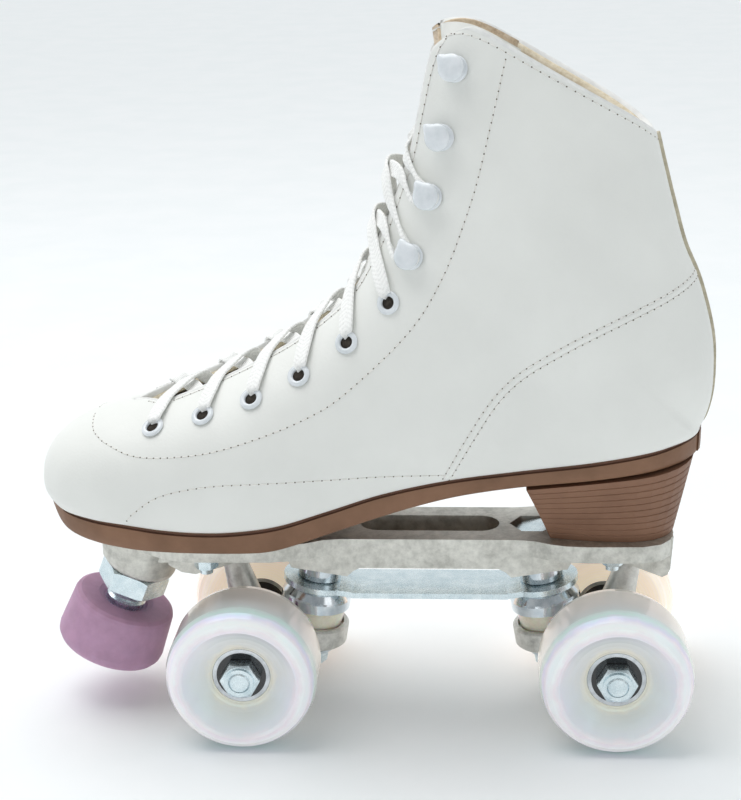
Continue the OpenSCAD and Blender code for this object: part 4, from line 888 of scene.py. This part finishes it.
insole_s = np.linspace(3.3, 16.2, 70)
v = np.linspace(-1, 1, 25)
q = inner(insole_s, 9.1)
width = station(insole_s)[:, 5] - 12.0
crown = 1 - np.abs(v) ** 6
low = inner(insole_s, 9.1)
rise = np.stack([-(np.gradient(q[:, 1])), np.gradient(q[:, 0])], 1)
rise = unit(rise)
tops = np.stack([q[:, None, 0] + rise[:, None, 0] * (0.3 + 2.2 * crown), width[:, None] * v[None, :],
                 q[:, None, 1] + rise[:, None, 1] * (0.3 + 2.2 * crown)], -1)
bots = np.stack([low[:, None, 0] + 0 * v[None, :], width[:, None] * v[None, :],
    low[:, None, 1] + 0 * v[None, :]], -1)
insole = slab("insole_pad", tops, bots, FLEECE, slot="fleece")
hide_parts("insole")

# ---------- outsole ----------
UNDER = np.array([
    [-147, 82], [-144.5, 78.4], [-141, 76.4], [-136, 75], [-130, 74.3], [-120, 73.6], [-108, 73.1],
        [-62, 73.1],
    [-57, 73.6], [-52, 74.8], [-45, 76.8], [-37, 79.3], [-28, 82], [-19.5, 84.6], [-5.5, 88.8],
    [9, 92.6], [23, 95.2], [36.5, 97.2], [60, 99.8], [85, 102.8], [104, 105],
])
sole_s = np.concatenate([np.linspace(1.82, 5, 40), np.linspace(5.1, 17.35, 120)])
q = station(sole_s)
sole_x, sole_z, sole_w = q[:, 0], q[:, 1], q[:, 5] + 0.9
sole_x = np.concatenate([[-147.3], sole_x, [100.9, 102.2]])
sole_z = np.concatenate([[87.6], sole_z, [113.7, 114.2]])
sole_w = np.concatenate([[2.5], sole_w, [7.0, 2.5]])
under_z = np.interp(sole_x, UNDER[:, 0], UNDER[:, 1])
kernel = np.hanning(9) / np.hanning(9).sum()
under_z[4:-4] = np.convolve(under_z, kernel, "valid")
rings = []
for x, z, w, u in zip(sole_x, sole_z, sole_w, under_z):
    c = 2.3 * (w / 38) ** 2
    deep = max(z - u - c - 1.2, 0.6)
    side = [(w - 1.4, z + 0.5), (w - 0.15, z + 0.35), (w - 0.05, z - 0.2), (w - 0.55, z - 0.45),
        (w - 0.5, z - 0.75), (w + 0.25, z - 0.95),
            (w + 0.35, z - 1.3), (w + 0.2, z - 0.5 * deep - 1.0), (w - 0.2, u + c + 1.9),
                (w - 0.8, u + c + 0.7),
            (max(w - 2.2, 0.6 * w), u + c), (w * 0.5, u + c * 0.25)]
    rings.append([(x, y, h) for y, h in side] + [(x, 0, u)] + [(x, -y, h) for y, h in side[::-1]])
rings = np.array(rings, float)
k = rings.shape[1]
band = [1 if j in (1, 2, 3, 4) or j in (k - 2 - 1, k - 2 - 2, k - 2 - 3, k - 2 - 4) else 0 for j in range(k)]
outsole = loft("outsole_shaped", rings, [SOLE, SOLE_LINE], slot="brown_sole",
    mats=band * (len(rings) - 1) + [0, 0])
sharpen(outsole, 55)
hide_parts("outsole")

# ---------- lace ----------
EYELETS = [(5.6, 0.84), (6.85, 0.82), (8.05, 0.80), (9.25, 0.795), (10.65, 0.787), (12.2, 0.785)]
HOOKS = [(13.5, 0.83), (15.8, 0.875), (19.15, 0.887), (22.75, 0.88)]
GAP, WIDE, THICK = 12.0, 6.0, 1.1


def p1(s, t, sg):
    return on_boot(float(s), float(t), float(sg))


def front_dir(s):
    a, b = station(max(s - 0.05, 0)), station(min(s + 0.05, LAST))
    return unit(b[2:4] - a[2:4])


def over_throat(s, y, h):
    q, f = station(s), front_dir(s)
    t = share_at(q, abs(y))
    return section(np.array(float(s)), q, np.array(t), y) + np.array([-f[1], 0, f[0]]) * h


def side_up(s, t, sg):
    return unit(p1(s + 0.02, t, sg) - p1(s - 0.02, t, sg))


def edge_share(s):
    return float(share_at(station(s), GAP))


def route(p, w, width, thick):
    return np.concatenate([p, w, [width, thick]])


def front_point(s, y, h, width):
    f = front_dir(s)
    return route(over_throat(s, y, h), np.array([f[0], 0, f[1]]), width, THICK)


def side_point(s, t, sg, h, width, thick):
    p = p1(s, t, sg) + away(float(s), float(t), float(sg)) * h
    return route(p, side_up(s, t, sg), width, thick)


def leave_eyelet(e, a, ds):
    s, t = EYELETS[e]
    te = edge_share(s)
    return [
        side_point(s, t + 0.02, a, -5.9, 3.2, 1.2), side_point(s + 0.02, t + 0.022, a, -2.2, 3.4, 1.3),
            side_point(s + 0.06, t + 0.026, a, 0.9, 3.8, 1.3),
        side_point(s + 0.05 * ds, t + 0.22 * (te - t), a, 2.1, 5.0, 1.25),
            side_point(s + 0.08 * ds, t + 0.55 * (te - t), a, 1.7, WIDE, THICK),
        front_point(s + 0.18 * ds, a * 13, 1.3, WIDE),
    ]


def crossing(e, a, above):
    s, ds = EYELETS[e][0], EYELETS[e + 1][0] - EYELETS[e][0]
    t2, te = EYELETS[e + 1][1], edge_share(EYELETS[e + 1][0])
    mid = ([(0.36, 6, 0.9), (0.5, 0, 0.6), (0.64, -7, -0.5)] if above else [(0.33, 8.5, -1.8),
        (0.5, 0, -2.3), (0.64, -7, -3.0)])
    return leave_eyelet(e, a, ds) + [front_point(s + f * ds, a * y, h, WIDE) for f, y, h in mid] + [
        front_point(s + 0.7 * ds, -a * 9.4, -3.4 if above else -4.6, 5.4),
            front_point(s + 0.76 * ds, -a * 12, -6.1, 5),
        side_point(s + 0.92 * ds, t2 + 0.45 * (te - t2), -a, -6.15, 4.2, THICK),
    ]


def round_hook(k, a):
    s, t = HOOKS[k]
    n = away(s, t, float(a))
    v = unit(p1(s + 0.02, t, a) - p1(s - 0.02, t, a))
    c = np.cross(v, n)
    u = -c if c[1] * a > 0 else c
    m = p1(s, t, a) + n * 2.45
    shape = [(5, -3.4), (1.2, -2.95), (-2.1, -2.1), (-3, 0), (-2.1, 2.1), (1.2, 2.95), (5, 3.4)]
    return [route(m + u * x + v * y, n, 2.4, 1.7) for x, y in shape]


def over_to_hook(s0, k, a, h):
    ds = HOOKS[k][0] - s0
    return [front_point(s0 + 0.38 * ds, a * 6, h, WIDE), front_point(s0 + 0.5 * ds, 0, h + 0.3, WIDE),
            front_point(s0 + 0.62 * ds, -a * 6, h, WIDE), front_point(s0 + 0.76 * ds, -a * 12.5, 1.3, 4.8)]


def strand(a):
    top = len(EYELETS) - 1
    side = a * (-1) ** top
    s5, low = EYELETS[top][0], 2.4 if side < 0 else 0.7
    out = []
    for k in range(top):
        sg = a * (-1) ** k
        out += crossing(k, sg, sg < 0)
    out += leave_eyelet(top, side, HOOKS[0][0] - s5) + over_to_hook(s5, 0, side, low) + round_hook(0, -side)
    out += [front_point(13.95, -side * 12.5, 1.3, 4)] + over_to_hook(13.7, 1, -side,
        3.1 - low) + round_hook(1, side)
    out += [front_point(16.4, side * 12.5, 1.3, 4), front_point(17, side * 8.5, -2.2, 4)]
    return out + [route(over_throat(z, side * y, h), np.array([0, side, 0.2]), 4.8, THICK)
                  for z, y, h in ((17.9, 5.5, -5), (19.2, 5.8, -5.2), (20.6, 6.2, -5.2))]


hole_rings = []
for a in (-1, 1):
    for es, et in EYELETS:
        n = away(es, et, float(a))
        u = side_up(es, et, a)
        v = np.cross(n, u)
        ang = np.arange(20) * math.pi / 10
        disc = 2.5 * (np.cos(ang)[:, None] * u + np.sin(ang)[:, None] * v)
        hole_rings.append((p1(es, et, a) + n * 0.12 + disc, p1(es, et, a) - n * 0.5 + disc * 0.9))
# the drawn leather has no openings, so a dark disc of painted shadow stands for each eyelet's hole
piece("eyelet_shadows", np.vstack([np.vstack(r) for r in hole_rings]),
      [f for k in range(len(hole_rings)) for f in (sheet_faces(2, 20, 0, True) + 40 * k).tolist() +
       [[40 * k + j for j in range(20)], [40 * k + 20 + j for j in range(20)]]], EYELET_PAINTED_SHADOW,
           slot="white_leather")

e0 = EYELETS[0]
bar = [side_point(e0[0], 0.93, 1, -5.9, 4.4, THICK), front_point(e0[0] + 0.02, 0, -5.7, 5),
    side_point(e0[0], 0.93, -1, -5.9, 4.4, THICK)]
way = np.array(strand(1)[::-1] + bar + strand(-1))
ext = np.vstack([2 * way[0] - way[1], way, 2 * way[-1] - way[-2]])
fine = []
for k in range(len(way) - 1):
    a, b, c, d = ext[k:k + 4]
    x = np.linspace(0, 1, 10, endpoint=False)[:, None]
    fine.append(0.5 * (2 * b + (c - a) * x + (2 * a - 5 * b + 4 * c - d) * x**2
        + (3 * b - a - 3 * c + d) * x**3))
fine = np.vstack(fine + [way[-1:]])
tan = unit(np.gradient(fine[:, :3], axis=0))
wide = fine[:, 3:6] - tan * (fine[:, 3:6] * tan).sum(1, keepdims=True)
wide = unit(wide)
up = np.cross(tan, wide)
half_shape = [(1.0, 0.0), (0.97, 0.62), (0.88, 0.98), (0.7, 1.0), (0.45, 0.82), (0.15, 0.74), (-0.15, 0.74),
    (-0.45, 0.82), (-0.7, 1.0), (-0.88, 0.98), (-0.97, 0.62), (-1.0, 0.0)]
shape = np.array(half_shape + [(x, -y) for x, y in half_shape[1:-1][::-1]])
rings = (fine[:, None, :3] + wide[:, None] * (fine[:, 6] / 2)[:, None, None] * shape[None, :, 0:1]
         + up[:, None] * (fine[:, 7] / 2)[:, None, None] * shape[None, :, 1:2])
run = np.concatenate([[0], np.cumsum(np.linalg.norm(np.diff(fine[:, :3], axis=0), axis=1))])
uvs = np.stack([np.broadcast_to((shape[:, 0] + 1) / 2, (len(fine), len(shape))),
    np.broadcast_to(run[:, None] / 3.0, (len(fine), len(shape)))], -1)
lace = loft("lace_tape", rings, LACE, uvs=uvs.reshape(-1, 2), slot="lace_weave")
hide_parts("lace")

# ---------- lace hooks ----------
BEAK_ANGLE = 0.5  # from straight forward, in radians
BEAK_LENGTH = 0.4  # as a share of the head's radius
BEAK_SPREAD = 0.3
# radius, height above the leather and how much of the beak shows there
HOOK_PROFILE = [(4.6, 0.35, 0), (4.7, 0.8, 0), (4.4, 1.15, 0), (2.2, 1.25, 0), (1.7, 1.7, 0),
                (1.7, 3.3, 0), (2.4, 3.8, 0.3), (4.5, 4.0, 1), (4.85, 4.4, 1), (4.75, 4.9, 1),
                (4.2, 5.4, 1), (3.1, 5.8, 0.8), (1.6, 6.0, 0.4), (0.3, 6.05, 0)]
for a in (-1, 1):
    rings_all, faces_all = [], []
    for hs, ht in HOOKS:
        n = away(hs, ht, float(a))
        up_way = side_up(hs, ht, a)
        fore = np.cross(n, up_way)
        fore = fore if fore[0] < 0 else -fore
        ang = np.arange(48) * math.pi / 24
        turn = np.angle(np.exp(1j * (ang - BEAK_ANGLE)))
        beak = 1 + BEAK_LENGTH * np.exp(-np.square(turn / BEAK_SPREAD))
        o = sum(len(r) for r in rings_all)
        base = p1(hs, ht, a)
        pts = [base + n * h + (r * (1 + (beak - 1) * b))[:,
            None] * (np.cos(ang)[:, None] * fore + np.sin(ang)[:, None] * up_way)
               for r, h, b in HOOK_PROFILE]
        rings_all.append(np.vstack(pts))
        faces_all += (sheet_faces(len(HOOK_PROFILE), 48, 0, True) + o).tolist()
        faces_all += [[o + j for j in range(48)], [o + 48 * (len(HOOK_PROFILE) - 1) + j for j in range(48)]]
    hook = piece(f"hooks_{'near' if a < 0 else 'far'}", np.vstack(rings_all), faces_all, ENAMEL,
        slot="white_enamel")
    sharpen(hook, 60)
    if a < 0:
        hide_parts("lace_hooks")

# ---------- cushions ----------
LEAN = math.radians(9.6)  # of a kingpin from upright
BOSS_FACE = np.array([42.2, 0, 59.3])  # where the rear kingpin leaves the plate, in layout mm


def kingpin_ring(radius, down, mirror, seg=64):
    """Points of a circle about a kingpin's axis, down mm below the boss face."""
    a = np.arange(seg) * 2 * math.pi / seg
    x, y = radius * np.cos(a), radius * np.sin(a)
    axis = np.array([math.sin(LEAN), 0, -math.cos(LEAN)])
    across = np.array([math.cos(LEAN), 0, math.sin(LEAN)])
    p = BOSS_FACE + axis * down + x[:, None] * across + y[:, None] * np.array([0, 1, 0])
    return p * np.array([-1 if mirror else 1, 1, 1])


for end, mirror in (("front", True), ("rear", False)):
    for tag, profile in (
        ("upper", [(4.3, 12.6), (9.6, 12.62), (10.4, 13.3), (11.2, 14.8), (11.85, 16.4), (12.0, 18.0),
            (12.05, 20.5), (11.9, 23.5), (11.55, 26.4),
                   (11.2, 28.6), (10.8, 29.05), (4.3, 29.05)]),
        ("lower", [(4.3, 32.9), (9.5, 32.92), (9.85, 33.3), (9.9, 34.4), (9.7, 35.8), (9.3, 37.0),
            (8.9, 37.28), (4.3, 37.3)]),
    ):
        rings = np.stack([kingpin_ring(r, d, mirror) for r, d in profile])
        cushion = loft(f"{end}_{tag}_cushion_soft", rings, CREAM, loop=True, body=None, slot="cushion_cream")
        sharpen(cushion, 50)
        near, far = (in_metres(kingpin_ring(0.0, profile[k][1], mirror, 1))[0] for k in (0, -1))
        start, stop = (near, far) if tag == "upper" else (far, near)
        tuple(start)
        tuple(stop)
        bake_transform(cushion)
        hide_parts(f"{end}_{tag}_cushion")

# ---------- floor ----------
FLOOR_HALF = 12.0
FLOOR_DROP = 0.0002  # keeps the floor just clear of the wheels
bm = bmesh.new()
bmesh.ops.create_grid(bm, x_segments=24, y_segments=24, size=FLOOR_HALF)
mesh = bpy.data.meshes.new("floor")
bm.to_mesh(mesh)
bm.free()
mesh.materials.append(FLOOR)
floor = bpy.data.objects.new("floor", mesh)
bpy.context.collection.objects.link(floor)
floor.location.z = -FLOOR_DROP
floor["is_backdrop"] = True

NEW_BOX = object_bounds()
[[[float(c) for c in corner] for corner in b] for b in (CAD_BOX, NEW_BOX)]
